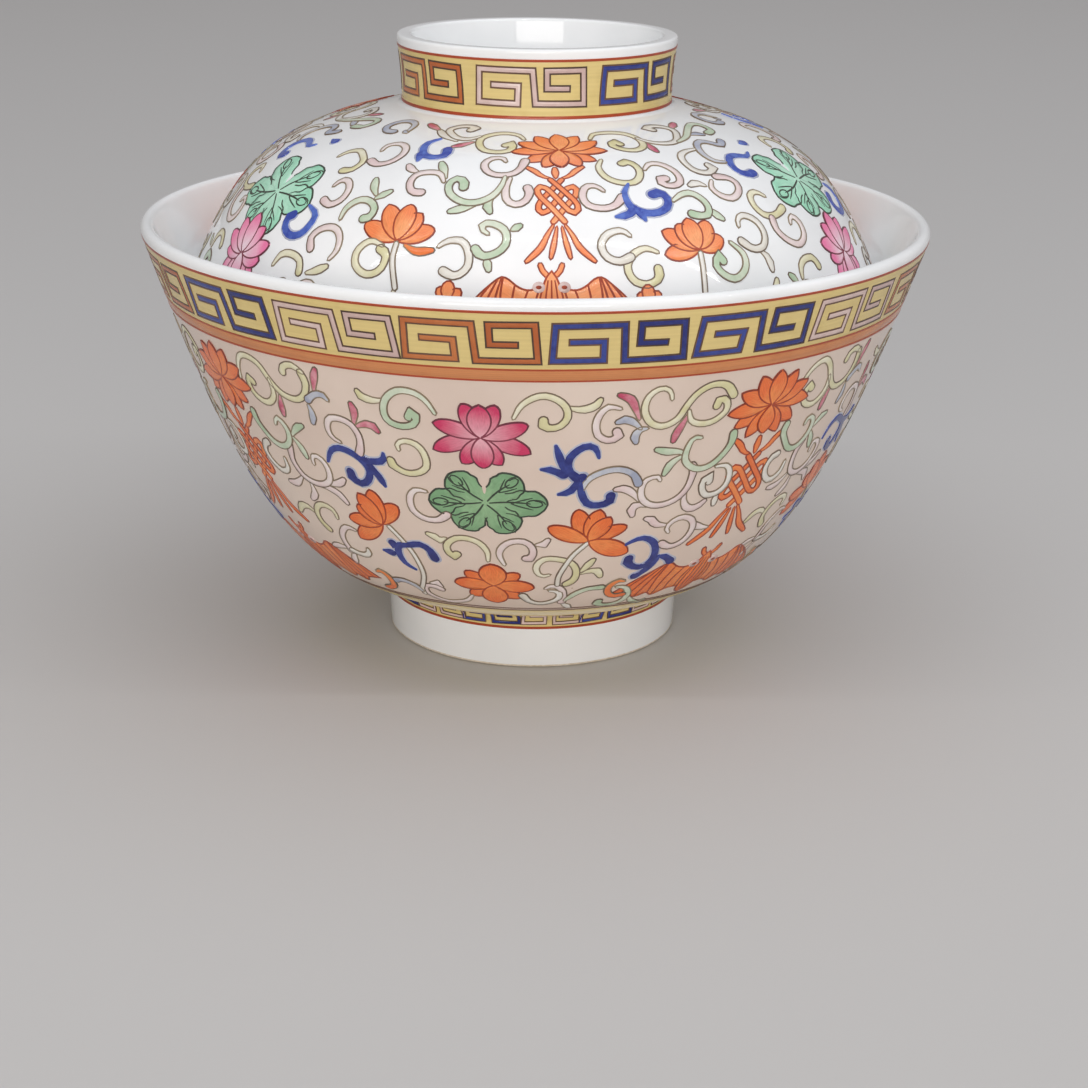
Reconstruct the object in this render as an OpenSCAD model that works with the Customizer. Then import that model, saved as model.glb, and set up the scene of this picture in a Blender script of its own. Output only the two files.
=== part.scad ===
// Covered rice bowl: a footed porcelain bowl and a domed lid that rests inside its rim.
// Each piece is one turned solid about the Z axis. The bowl's foot stands on z = 0, and the lid
// is drawn in place, closed.

/* [Bowl] */
// Outside radius of the bowl at its lip
bowl_r = 58; // [57:0.5:59]
// Height of the bowl, from the foot's rim to the lip
bowl_h = 64; // [62:0.5:66]
// Lean of the wall at the lip, in degrees from upright
lip_lean = 19; // [17:0.5:21]
// Thickness of the wall at the lip
lip_t = 1.9; // [1.6:0.1:2.4]
// Thickness of the wall just above the foot
base_t = 3.8; // [3:0.1:4.5]
// Height of the inside floor at the centre
floor_z = 11.6; // [11:0.1:12.4]

/* [Foot] */
// Outside radius of the foot ring at its rim
foot_r = 22.1; // [21:0.1:23]
// Height of the foot ring's outer wall
foot_h = 6.5; // [5.5:0.1:7]
// Thickness of the foot ring at its rim
foot_t = 2.6; // [2.2:0.1:3.2]
// Depth of the recess inside the foot ring
recess_h = 6; // [5:0.1:6.5]

/* [Lid] */
// Height at which the lid's rim rests against the bowl's wall
seat_z = 51.3; // [50:0.1:52.5]
// Gap between the lid's rim and the bowl's wall, measured level
seat_gap = 0.3; // [0.2:0.02:0.5]
// Thickness of the lid at its rim
lid_rim_t = 2.1; // [1.8:0.1:2.4]
// Thickness of the lid beside its ring
lid_top_t = 2.8; // [2.4:0.1:3]
// Height of the dome where the ring stands on it
dome_z = 80.4; // [79.5:0.1:81]

/* [Lid ring] */
// Outside radius of the lid ring at its rim
ring_r = 20.4; // [19.8:0.1:21]
// Height of the lid ring's rim, which is the top of the closed bowl
top_z = 90.2; // [89:0.1:92]
// Thickness of the lid ring at its rim
ring_t = 2.2; // [2:0.1:2.6]
// Height of the floor of the well inside the lid ring
well_z = 81.6; // [81.4:0.1:82.4]

/* [Hidden] */
$fn = 180;

// Pieces that each long curve, short curve and rounded edge is divided into
long_n = 30;
short_n = 8;
edge_n = 6;

// Flare of each ring between its foot and its rim
foot_flare = 0.3;
ring_flare = 0.7;
// Size of the small rounding on each ring's rim
rim_round = 0.5;
// Size of the hollow corner inside each ring
corner_r = 1.7;

// A Bezier curve with any number of control points, by repeated halfway mixing
function bezier(p, t) =
    len(p) == 1 ? p[0] : bezier([for (i = [0 : len(p) - 2]) (1 - t) * p[i] + t * p[i + 1]], t);

function curve(p, n) = [for (i = [0 : n]) bezier(p, i / n)];

// Direction of travel along a curve, and the unit normal on its left
function heading(p, t) = bezier(p, t + 0.001) - bezier(p, t - 0.001);
function left_of(d) = [-d.y, d.x] / norm(d);

// The other face of a wall whose first face is curve p, with thickness t0 at its start and t1 at
// its end; bend sets how soon the thickness changes
function wall(p, n, t0, t1, bend) = [
    for (i = [0 : n])
        let (t = i / n)
        bezier(p, t) + left_of(heading(p, t)) * (t1 + (t0 - t1) * pow(1 - t, bend))
];

function arc(c, r, from, to, n) = [
    for (i = [0 : n])
        let (a = from + (to - from) * i / n)
        c + r * [cos(a), sin(a)]
];

function backwards(list) = [for (i = [len(list) - 1 : -1 : 0]) list[i]];

// A corner rounded from a to b, with c where the two sides would meet
function rounded(a, c, b) = curve([a, c, b], edge_n);

// --- The bowl's lines ---

lip_dir = [sin(lip_lean), cos(lip_lean)];
lip_end = [bowl_r - lip_t / 2 * (1 - lip_dir.y), bowl_h - lip_t / 2 * (1 + lip_dir.x)];
heel = [foot_r + 2.3, foot_h + 2.8];
heel_slope = 0.22;

// Outside of the wall, from the heel above the foot to the lip
bowl_line = [heel, heel + 17.3 * [1, heel_slope], lip_end - 26.8 * lip_dir, lip_end];
bowl_inside = wall(bowl_line, long_n, base_t, lip_t, 2);
floor_edge = bowl_inside[0];
floor_line = [
    floor_edge,
    [floor_edge.x - (floor_edge.y - floor_z) / heel_slope, floor_z],
    [0, floor_z]
];

foot_top_r = foot_r + foot_flare;
foot_in = foot_r - foot_t;

function bowl_outline() = concat(
    [[0, recess_h]],
    rounded(
        [foot_in - foot_flare - corner_r, recess_h],
        [foot_in - foot_flare, recess_h],
        [foot_in - foot_flare, recess_h - corner_r]
    ),
    rounded([foot_in, rim_round], [foot_in, 0], [foot_in + rim_round, 0]),
    rounded([foot_r - rim_round, 0], [foot_r, 0], [foot_r, rim_round]),
    rounded([foot_top_r, foot_h], [foot_top_r, heel.y - heel_slope * (heel.x - foot_top_r)], heel),
    curve(bowl_line, long_n),
    arc(lip_end + left_of(lip_dir) * lip_t / 2, lip_t / 2, -lip_lean, 180 - lip_lean, short_n),
    backwards(bowl_inside),
    curve(floor_line, short_n)
);

// --- The lid's lines ---

// Radius at the lid's rim, a gap inside the bowl's wall at that height
seat_r = lookup(seat_z, [for (p = bowl_inside) [p.y, p.x]]) - seat_gap;
ring_foot = [ring_r - ring_flare, dome_z];

// Outside of the dome, from the rim to the foot of the ring
lid_line = [
    [seat_r, seat_z],
    [seat_r - 0.5, seat_z + 6.3],
    [42.5, dome_z - 6.2],
    [39.8, dome_z - 4.8],
    ring_foot
];
lid_inside = wall(lid_line, long_n, lid_rim_t, lid_top_t, 1);
crown_edge = lid_inside[long_n];
crown_z = well_z - 3;
crown_slope = 0.24;
crown_line = [
    crown_edge,
    [crown_edge.x - (crown_z - crown_edge.y) / crown_slope, crown_z],
    [0, crown_z]
];
ring_in = ring_r - ring_t;
ring_line = [ring_foot, ring_foot + [-0.2, 4], [ring_r, top_z - rim_round]];
rim_normal = left_of(heading(lid_line, 0));
rim_angle = atan2(-rim_normal.y, -rim_normal.x);

function lid_outline() = concat(
    backwards(arc(
        lid_line[0] + rim_normal * lid_rim_t / 2, lid_rim_t / 2, rim_angle, rim_angle - 180, short_n
    )),
    curve(lid_line, long_n),
    curve(ring_line, short_n),
    rounded([ring_r, top_z - rim_round], [ring_r, top_z], [ring_r - rim_round, top_z]),
    rounded([ring_in + rim_round, top_z], [ring_in, top_z], [ring_in, top_z - rim_round]),
    rounded(
        [ring_in - ring_flare, well_z + corner_r],
        [ring_in - ring_flare, well_z],
        [ring_in - ring_flare - corner_r, well_z]
    ),
    [[0, well_z]],
    backwards(curve(crown_line, short_n)),
    backwards(lid_inside)
);

// --- The two pieces ---

// Bowl with its foot ring, thrown and turned in one piece
module bowl() {
    color("ivory")
        rotate_extrude()
            polygon(bowl_outline());
}

// Domed lid with its ring, in one piece; the ring is the handle, and the lid's foot when it is
// turned over
module lid() {
    color("ghostwhite")
        rotate_extrude()
            polygon(lid_outline());
}

bowl();
lid();
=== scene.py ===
# Covered rice bowl: a footed porcelain bowl with a domed lid that rests inside its rim, both
# painted over the glaze with enamels in the famille rose palette.
import math

import bpy
import numpy as np
from mathutils import Matrix, Vector


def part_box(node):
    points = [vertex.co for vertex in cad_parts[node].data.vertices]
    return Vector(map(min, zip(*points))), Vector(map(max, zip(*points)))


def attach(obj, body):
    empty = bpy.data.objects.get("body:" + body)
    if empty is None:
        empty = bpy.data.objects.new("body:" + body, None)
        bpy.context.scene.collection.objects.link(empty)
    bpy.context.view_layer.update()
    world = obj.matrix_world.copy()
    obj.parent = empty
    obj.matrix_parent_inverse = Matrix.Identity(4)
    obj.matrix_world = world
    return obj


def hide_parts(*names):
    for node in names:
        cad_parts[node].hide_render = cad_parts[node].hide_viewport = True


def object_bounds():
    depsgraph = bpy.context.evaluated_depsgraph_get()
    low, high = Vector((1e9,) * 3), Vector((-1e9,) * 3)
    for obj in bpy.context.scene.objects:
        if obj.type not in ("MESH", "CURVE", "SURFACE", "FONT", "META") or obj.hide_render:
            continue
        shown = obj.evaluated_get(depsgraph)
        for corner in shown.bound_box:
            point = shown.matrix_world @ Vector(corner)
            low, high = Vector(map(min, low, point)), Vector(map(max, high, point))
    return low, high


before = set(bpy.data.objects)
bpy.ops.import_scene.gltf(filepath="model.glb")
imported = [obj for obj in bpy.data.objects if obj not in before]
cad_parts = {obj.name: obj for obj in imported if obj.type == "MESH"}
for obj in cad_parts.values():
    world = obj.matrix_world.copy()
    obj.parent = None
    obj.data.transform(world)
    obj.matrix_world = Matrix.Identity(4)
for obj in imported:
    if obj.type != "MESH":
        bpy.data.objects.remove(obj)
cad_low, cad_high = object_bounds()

# ---------------------------------------------------------------------------------------------
# Where the bowl stands: a plain pale floor, a wide softbox overhead, a thin strip light in
# front of it that draws the long gleam on the lid, a low fill from the front that opens the
# shade under the belly, and the camera a forearm's length away.
# ---------------------------------------------------------------------------------------------
MM = 0.001


def linear(hex_colour):
    """Turns an sRGB colour such as "e8d9b0" into linear red, green, blue and a full alpha."""
    srgb = np.array([int(hex_colour[i:i + 2], 16) for i in (0, 2, 4)]) / 255
    low, high = srgb / 12.92, ((srgb + 0.055) / 1.055) ** 2.4
    return (*np.where(srgb <= 0.04045, low, high).tolist(), 1.0)


def node(material, kind, settings=None, **links):
    """Adds a node to a material. Settings are its own properties; each link is a value or
    another node's output for the input of that name, where _ stands for a space."""
    made = material.node_tree.nodes.new("ShaderNode" + kind)
    for name, value in (settings or {}).items():
        setattr(made, name, value)
    for name, value in links.items():
        key = int(name[2:]) if name.startswith("in") and name[2:].isdigit() else name.replace("_", " ")
        if isinstance(value, bpy.types.NodeSocket):
            material.node_tree.links.new(value, made.inputs[key])
        else:
            made.inputs[key].default_value = value
    return made


def new_material(name):
    """An empty node material with its output, and a link from a finished shader to it."""
    material = bpy.data.materials.new(name)
    material.use_nodes = True
    material.node_tree.nodes.clear()
    output = material.node_tree.nodes.new("ShaderNodeOutputMaterial")

    def finish(shader):
        material.node_tree.links.new(shader.outputs[0], output.inputs["Surface"])
        return material

    return material, finish


def ramp(material, factor, *stops):
    """A colour ramp through (place, hex colour) stops."""
    made = node(material, "ValToRGB", Fac=factor)
    points = made.color_ramp.elements
    while len(points) < len(stops):
        points.new(0.5)
    for point, (place, colour) in zip(points, stops):
        point.position = place
        point.color = linear(colour)
    return made.outputs["Color"]


camera_distance = 0.33903
camera_height = 0.12910
camera_pitch, camera_yaw, camera_roll = np.radians([19.086, 0.297, 0.614])
lens_mm, sensor_mm = 76.1, 36
camera_data = bpy.data.cameras.new("camera")
camera_data.sensor_width = sensor_mm
camera_data.lens = lens_mm
camera = bpy.data.objects.new("camera", camera_data)
camera.location = (0, -camera_distance, camera_height)
forward = np.array([math.sin(camera_yaw) * math.cos(camera_pitch),
                    math.cos(camera_yaw) * math.cos(camera_pitch), -math.sin(camera_pitch)])
level = np.array([math.cos(camera_yaw), -math.sin(camera_yaw), 0])
upright = np.cross(level, forward)
right = level * math.cos(camera_roll) + upright * math.sin(camera_roll)
up = upright * math.cos(camera_roll) - level * math.sin(camera_roll)
camera.rotation_mode = "QUATERNION"
camera.rotation_quaternion = Matrix(np.stack([right, up, -forward], 1).tolist()).to_quaternion()
bpy.context.scene.collection.objects.link(camera)
bpy.context.scene.camera = camera
bpy.context.scene.view_settings.view_transform = "Standard"


def area_light(name, place, aim, size, power, colour):
    """A flat rectangular light at place, turned to face aim, in metres and watts."""
    data = bpy.data.lights.new(name, "AREA")
    data.shape = "RECTANGLE"
    data.size, data.size_y = size
    data.energy = power
    data.color = linear(colour)[:3]
    light = bpy.data.objects.new(name, data)
    light.location = place
    away = Vector(place) - Vector(aim)
    light.rotation_mode = "QUATERNION"
    light.rotation_quaternion = away.to_track_quat("Z", "Y")
    bpy.context.scene.collection.objects.link(light)


centre = (0, 0, cad_high.z / 2)
lid_shoulder = (0.09, -0.04, 0.07)
area_light("softbox", place=(0.33, -0.1, 1.5), aim=centre, size=(2.8, 2.8), power=15.2, colour="eaf2ff")
area_light("strip", place=(0.09, -0.29, 0.62), aim=lid_shoulder, size=(1.5, 0.006), power=1.2,
           colour="ffffff")
area_light("front_fill", place=(-0.05, -1.1, 0.14), aim=centre, size=(0.9, 0.6), power=7.4,
           colour="fffaf6")

sky_strength = 0.43
world = bpy.data.worlds.new("studio")
world.use_nodes = True
sky = world.node_tree.nodes["Background"].inputs
sky["Color"].default_value = linear("e9e4e2")
sky["Strength"].default_value = sky_strength
bpy.context.scene.world = world

floor_half, floor_back = 3.0, 6.0
floor_mesh = bpy.data.meshes.new("floor")
floor_corners = [(-floor_half, -floor_half, 0), (floor_half, -floor_half, 0),
                 (floor_half, floor_back, 0), (-floor_half, floor_back, 0)]
floor_mesh.from_pydata(floor_corners, [], [(0, 1, 2, 3)])
floor = bpy.data.objects.new("floor", floor_mesh)
bpy.context.scene.collection.objects.link(floor)
# Matt studio paper: an even light grey without a gleam.
floor_paint, floor_done = new_material("matt_studio_paper")
floor_mesh.materials.append(floor_done(node(
    floor_paint, "BsdfPrincipled", Base_Color=linear("c9c7c4"), Roughness=0.7)))

# ---------------------------------------------------------------------------------------------
# The bowl: hard porcelain, thrown and turned in one piece with its foot ring, dipped in clear
# glaze and wiped bare where the foot stands in the kiln. Its wall is one smooth curve, which
# thins from the heel to the lip.
# ---------------------------------------------------------------------------------------------
bowl_radius = (cad_high.x - cad_low.x) / 2 / MM
bowl_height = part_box("bowl")[1].z / MM
lip_thickness = 1.9
lip_lean = math.radians(19)
heel = np.array([24.4, 9.3])
heel_slope = 0.22
foot_radius, foot_height, foot_thickness = 22.1, 6.5, 2.6
ring_corner, rim_round = 1.7, 0.5
bare_step, bare_height = 0.02, 0.42
round_steps = 400


def bezier(controls, t):
    """A Bezier curve: each control point weighted by its Bernstein polynomial in t."""
    controls = np.asarray(controls, float)
    last = len(controls) - 1
    powers = np.arange(last + 1)
    choose = np.array([math.comb(last, k) for k in powers])
    weights = choose * t[:, None] ** powers * (1 - t[:, None]) ** (last - powers)
    return weights @ controls


def left_normal(curve):
    """The unit normal on the left of each point of a curve, from its slope."""
    slope = np.gradient(curve, axis=0)
    return np.stack([-slope[:, 1], slope[:, 0]], 1) / np.linalg.norm(slope, axis=1)[:, None]


def corner(a, c, b, steps=5):
    """A corner rounded from a to b, with c where the two sides would meet."""
    return bezier([a, c, b], np.linspace(0, 1, steps + 1))


def arc(middle, radius, start, end, steps=10):
    """An arc round middle, from one angle to another, in radians."""
    a = np.linspace(start, end, steps + 1)[:, None]
    return middle + radius * np.hstack([np.cos(a), np.sin(a)])


def swept(outline):
    """An outline of (radius r, height z) points carried round the axis, in mm: the points
    (r sin a, -r cos a, z) for round_steps angles a, one row for each point of the outline."""
    a = np.arange(round_steps) * math.tau / round_steps
    r, z = outline[:, None, 0], outline[:, None, 1] + 0 * a
    return np.stack([r * np.sin(a), -r * np.cos(a), z], -1).reshape(-1, 3)


def quads(rows, columns, n, k, start=0):
    """The quads of a grid of n rows of k points, numbered from start: rows by columns of them,
    which join back to the first row or column where they run past the last."""
    i, j = np.meshgrid(np.arange(rows), np.arange(columns), indexing="ij")
    at = lambda row, column: start + row % n * k + column % k
    return np.stack([at(i, j), at(i, j + 1), at(i + 1, j + 1), at(i + 1, j)], -1).reshape(-1, 4)


def turned(outline):
    """The surface of revolution of an outline of (radius, height) points, in metres. Both ends
    lie on the axis, where each is one shared point that closes the surface with a fan."""
    rows = len(outline) - 2
    points = np.vstack([[0, 0, outline[0, 1]], swept(outline[1:-1]), [0, 0, outline[-1, 1]]]) * MM
    here = np.arange(round_steps)
    ahead = (here + 1) % round_steps
    end = len(points) - 1
    first_fan = np.stack([0 * here, 1 + ahead, 1 + here], -1)
    last_fan = np.stack([0 * here + end, end - round_steps + here, end - round_steps + ahead], -1)
    return points, [quads(rows - 1, round_steps, rows, round_steps, start=1), first_fan, last_fan]


def add_piece(name, points, faces, material, body, slot, uv=None, crease=None):
    """Makes one piece from points in metres and blocks of faces with the same number of
    corners, gives it its material, and lets it ride on a body."""
    mesh = bpy.data.meshes.new(name)
    corners = np.concatenate([block.ravel() for block in faces])
    totals = np.concatenate([np.full(len(block), block.shape[1]) for block in faces])
    mesh.vertices.add(len(points))
    mesh.vertices.foreach_set("co", points.astype(np.float32).ravel())
    mesh.loops.add(len(corners))
    mesh.loops.foreach_set("vertex_index", corners.astype(np.int32))
    mesh.polygons.add(len(totals))
    mesh.polygons.foreach_set("loop_start", (np.cumsum(totals) - totals).astype(np.int32))
    mesh.polygons.foreach_set("loop_total", totals.astype(np.int32))
    mesh.polygons.foreach_set("use_smooth", np.ones(len(totals), bool))
    mesh.update(calc_edges=True)
    if uv is not None:
        layer = mesh.uv_layers.new(name="brush")
        layer.data.foreach_set("uv", uv[corners].astype(np.float32).ravel())
    mesh.validate()
    if crease is not None:
        mesh.set_sharp_from_angle(angle=crease)
    mesh.materials.append(material)
    piece = bpy.data.objects.new(name, mesh)
    bpy.context.scene.collection.objects.link(piece)
    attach(piece, body)
    return piece


lip_way = np.array([math.sin(lip_lean), math.cos(lip_lean)])
lip_end = np.array([bowl_radius - lip_thickness / 2 * (1 - lip_way[1]),
                    bowl_height - lip_thickness / 2 * (1 + lip_way[0])])
along_wall = np.linspace(0, 1, 90)
belly_reach, lip_reach, heel_extra = 17.3, 26.8, 1.9
bowl_outside = bezier([heel, heel + belly_reach * np.array([1, heel_slope]),
                       lip_end - lip_reach * lip_way, lip_end], along_wall)
wall_thickness = lip_thickness + heel_extra * (1 - along_wall) ** 2
bowl_inside = bowl_outside + left_normal(bowl_outside) * wall_thickness[:, None]
floor_z = 11.6
foot_top, foot_in, recess_z = foot_radius + 0.3, foot_radius - foot_thickness, 6.0
lip_middle = lip_end + np.array([-lip_way[1], lip_way[0]]) * lip_thickness / 2
bowl_outline = np.vstack([
    [[0, recess_z], [8, recess_z]],
    corner([foot_in - 0.3 - ring_corner, recess_z], [foot_in - 0.3, recess_z],
           [foot_in - 0.3, recess_z - ring_corner]),
    corner([foot_in, rim_round], [foot_in, bare_step], [foot_in + rim_round, bare_step]),
    corner([foot_radius - rim_round, bare_step], [foot_radius, bare_step], [foot_radius, rim_round]),
    corner([foot_top, foot_height], [foot_top, heel[1] - heel_slope * (heel[0] - foot_top)], heel),
    bowl_outside[1:],
    arc(lip_middle, lip_thickness / 2, -lip_lean, math.pi - lip_lean)[1:],
    bowl_inside[-2::-1],
    bezier([bowl_inside[0], [bowl_inside[0, 0] - (bowl_inside[0, 1] - floor_z) / heel_slope, floor_z],
            [0, floor_z]], np.linspace(0, 1, 14))[1:],
])

# Glazed porcelain: a clear feldspar glaze, glossy and nearly colourless, over a white body. The
# eye sees a cool white that drifts a little where the glaze lies thicker, an almost flat surface
# with the slightest ripple, and now and then a pinhead speck of iron. On the bowl's outer wall,
# between the foot and the lip, a darker rosy white is painted in as shade and warm bounce light.
glaze_drift = 18 * MM
glaze_ripple, ripple_depth = 5 * MM, 0.2 * MM
speck_spacing = 11 * MM
shade_fade, shade_turn = 0.5 * MM, 4 * MM
glaze_ior, glaze_roughness = 1.5, 0.06


def glazed(name, shade_from, shade_to):
    """Glazed porcelain, with a darker rosy white painted in as shade between two heights on the
    side that faces away from the axis.
    """
    porcelain, done = new_material(name)
    where = node(porcelain, "TexCoord").outputs["Object"]
    drift = node(porcelain, "TexNoise", Vector=where, Scale=1 / glaze_drift, Detail=3.0)
    cool = ramp(porcelain, drift.outputs["Fac"], (0.3, "eef0f0"), (0.7, "f8f9f9"))
    # The rosy white is painted shade: a darker and warmer white than the glaze's own.
    shade_tint = ramp(porcelain, drift.outputs["Fac"], (0.3, "dcc8ba"), (0.7, "e6d5c7"))
    place = node(porcelain, "SeparateXYZ", Vector=where).outputs
    flat = node(porcelain, "VectorMath", {"operation": "MULTIPLY"}, in0=where, in1=(1, 1, 0))
    faces_out = node(porcelain, "VectorMath", {"operation": "DOT_PRODUCT"}, in0=flat.outputs["Vector"],
                     in1=node(porcelain, "NewGeometry").outputs["Normal"])
    outside = node(porcelain, "MapRange", Value=faces_out.outputs["Value"], in1=0.0, in2=shade_turn)
    above = node(porcelain, "MapRange", Value=place["Z"], in1=shade_from, in2=shade_from + shade_fade)
    below = node(porcelain, "MapRange", Value=place["Z"], in1=shade_to - shade_fade, in2=shade_to,
                 in3=1.0, in4=0.0)
    wall = node(porcelain, "Math", {"operation": "MULTIPLY"}, in0=above.outputs["Result"],
                in1=below.outputs["Result"])
    # Where both hold, on the outer wall between the two heights, the painted shade replaces the white.
    shade_mask = node(porcelain, "Math", {"operation": "MULTIPLY"}, in0=wall.outputs["Value"],
                   in1=outside.outputs["Result"])
    white = node(porcelain, "Mix", {"data_type": "RGBA"}, in0=shade_mask.outputs["Value"], in6=cool, in7=shade_tint)
    grit = node(porcelain, "TexVoronoi", Vector=where, Scale=1 / speck_spacing, Randomness=1.0)
    speck = ramp(porcelain, grit.outputs["Distance"], (0.008, "b9a58c"), (0.016, "ffffff"))
    speckled = node(porcelain, "Mix", {"data_type": "RGBA", "blend_type": "MULTIPLY"}, in0=0.8,
                    in6=white.outputs[2], in7=speck)
    ripple = node(porcelain, "TexNoise", Vector=where, Scale=1 / glaze_ripple, Detail=2.0)
    relief = node(porcelain, "Bump", Height=ripple.outputs["Fac"], Strength=0.05,
                  Distance=ripple_depth)
    return done(node(porcelain, "BsdfPrincipled", Base_Color=speckled.outputs[2], IOR=glaze_ior,
                     Roughness=glaze_roughness, Normal=relief.outputs["Normal"]))


# Between these heights the bowl's outer wall gets the painted shade.
shaded_wall_heights = (7 * MM, 61.5 * MM)
bowl_glaze = glazed("glazed_porcelain_bowl_with_painted_shade", *shaded_wall_heights)
points, faces = turned(bowl_outline)
bowl_piece = add_piece("bowl_glazed_body", points, faces, bowl_glaze, "bowl", "glazed_porcelain")
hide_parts("bowl")

# Bare porcelain: the biscuit where the glaze was wiped off the standing rim, dull, slightly sandy
# and creamier than the glazed white.
sand_size, sand_depth = 0.6 * MM, 0.05 * MM
biscuit, biscuit_done = new_material("bare_porcelain_wiped_rim")
where = node(biscuit, "TexCoord").outputs["Object"]
sand = node(biscuit, "TexNoise", Vector=where, Scale=1 / sand_size, Detail=4.0)
tone = ramp(biscuit, sand.outputs["Fac"], (0.35, "cfc2ad"), (0.65, "e2d8c8"))
grain = node(biscuit, "Bump", Height=sand.outputs["Fac"], Strength=0.3, Distance=sand_depth)
biscuit_done(node(biscuit, "BsdfPrincipled", Base_Color=tone, IOR=glaze_ior, Roughness=0.75,
                  Normal=grain.outputs["Normal"]))
rim_proud, rim_under = 0.01, 0.6
rim_in, rim_out = foot_in - rim_proud, foot_radius + rim_proud
rim_loop = np.vstack([
    [[rim_in, bare_height]],
    corner([rim_in, rim_round - 0.1], [rim_in, 0], [foot_in + rim_round, 0]),
    corner([foot_radius - rim_round, 0], [rim_out, 0], [rim_out, rim_round - 0.1]),
    [[rim_out, bare_height], [foot_radius - rim_under, bare_height], [foot_in + rim_under, bare_height]],
])
rim_rows = len(rim_loop)
add_piece("foot_rim_bare", swept(rim_loop) * MM, [quads(rim_rows, round_steps, rim_rows, round_steps)],
          biscuit, "bowl", "bare_porcelain")

# ---------------------------------------------------------------------------------------------
# The lid: thrown of the same porcelain, a dome with a ring on top to lift it by. It drops inside
# the bowl's rim and rests on the wall; turned over, it stands on the ring as a small dish.
# ---------------------------------------------------------------------------------------------
lid_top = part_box("lid")[1].z / MM
lid_radius = (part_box("lid")[1].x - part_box("lid")[0].x) / 2 / MM
seat_z, dome_z, well_z = 51.3, 80.4, 81.6
ring_radius, ring_thickness, ring_flare = 20.4, 2.2, 0.7
lid_rim_thickness, lid_top_thickness = 2.1, 2.8
crown_z, crown_slope = well_z - 3, 0.24

ring_foot = np.array([ring_radius - ring_flare, dome_z])
seat_radius = lid_radius - 0.003
lid_outside = bezier([[seat_radius, seat_z], [seat_radius - 0.5, seat_z + 6.3], [42.5, dome_z - 6.2],
                      [39.8, dome_z - 4.8], ring_foot], along_wall)
lid_wall = lid_rim_thickness + (lid_top_thickness - lid_rim_thickness) * along_wall
lid_inside = lid_outside + left_normal(lid_outside) * lid_wall[:, None]
rim_normal = left_normal(lid_outside)[0]
rim_start = math.atan2(-rim_normal[1], -rim_normal[0])
ring_in = ring_radius - ring_thickness
ring_outside = bezier([ring_foot, ring_foot + [-0.2, 4], [ring_radius, lid_top - rim_round]],
                      np.linspace(0, 1, 16))
crown_edge = lid_inside[-1]
lid_outline = np.vstack([
    bezier([[0, crown_z], [crown_edge[0] - (crown_z - crown_edge[1]) / crown_slope, crown_z],
            crown_edge], np.linspace(0, 1, 14)),
    lid_inside[-2::-1],
    arc(lid_outside[0] + rim_normal * lid_rim_thickness / 2, lid_rim_thickness / 2,
        rim_start - math.pi, rim_start)[1:],
    lid_outside[1:],
    ring_outside[1:],
    corner([ring_radius, lid_top - rim_round], [ring_radius, lid_top],
           [ring_radius - rim_round, lid_top])[1:],
    corner([ring_in + rim_round, lid_top], [ring_in, lid_top], [ring_in, lid_top - rim_round]),
    corner([ring_in - ring_flare, well_z + ring_corner], [ring_in - ring_flare, well_z],
           [ring_in - ring_flare - ring_corner, well_z]),
    [[8, well_z], [0, well_z]],
])
# The lid is the same glaze, white all over: its heights of painted shade lie below the floor.
nowhere = (-2 * MM, -1 * MM)
lid_glaze = glazed("glazed_porcelain_lid", *nowhere)
points, faces = turned(lid_outline)
lid_piece = add_piece("lid_glazed_body", points, faces, lid_glaze, "lid", "glazed_porcelain")
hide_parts("lid")

# ---------------------------------------------------------------------------------------------
# The border under the bowl's lip: a thin iron-red line, a yellow ground with a fret in red, blue
# and pale pink, and an orange band between two red lines. Every colour is enamel brushed over the
# glaze and fired again, so it stands a few hundredths of a millimetre proud.
# ---------------------------------------------------------------------------------------------
brush = np.random.default_rng(116)
buried = -0.012
edge_slope = 0.09
line_lift, wash_lift, ground_lift = 0.085, 0.055, 0.03


class Guide:
    """The outside of a turned wall as something to paint on. A place on it is an angle in
    degrees, 0 at the front and growing to the right, and a run in mm down the profile."""

    def __init__(self, line, start):
        steps = np.linalg.norm(np.diff(line, axis=0), axis=1)
        self.run = start + np.concatenate([[0], np.cumsum(steps)])
        slope = np.gradient(line, axis=0)
        slope /= np.linalg.norm(slope, axis=1)[:, None]
        self.line = line
        self.out = np.stack([-slope[:, 1], slope[:, 0]], 1)

    def radius(self, run):
        """The wall's radius in mm at a run."""
        return np.interp(run, self.run, self.line[:, 0])

    def place(self, spots, lift):
        """(r + lift nr) (sin a, -cos a) and z + lift nz, in metres, for spots (angle, run)."""
        a, run = np.radians(spots[..., 0]), spots[..., 1]
        r = self.radius(run) + lift * np.interp(run, self.run, self.out[:, 0])
        z = np.interp(run, self.run, self.line[:, 1]) + lift * np.interp(run, self.run, self.out[:, 1])
        return np.stack([r * np.sin(a), -r * np.cos(a), z], -1) * MM

    def near(self, spot, offsets):
        """Places at (right, up) offsets in mm from a spot."""
        offsets = np.asarray(offsets, float)
        run = spot[1] - offsets[..., 1]
        return np.stack([spot[0] + np.degrees(offsets[..., 0] / self.radius(run)), run], -1)


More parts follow.
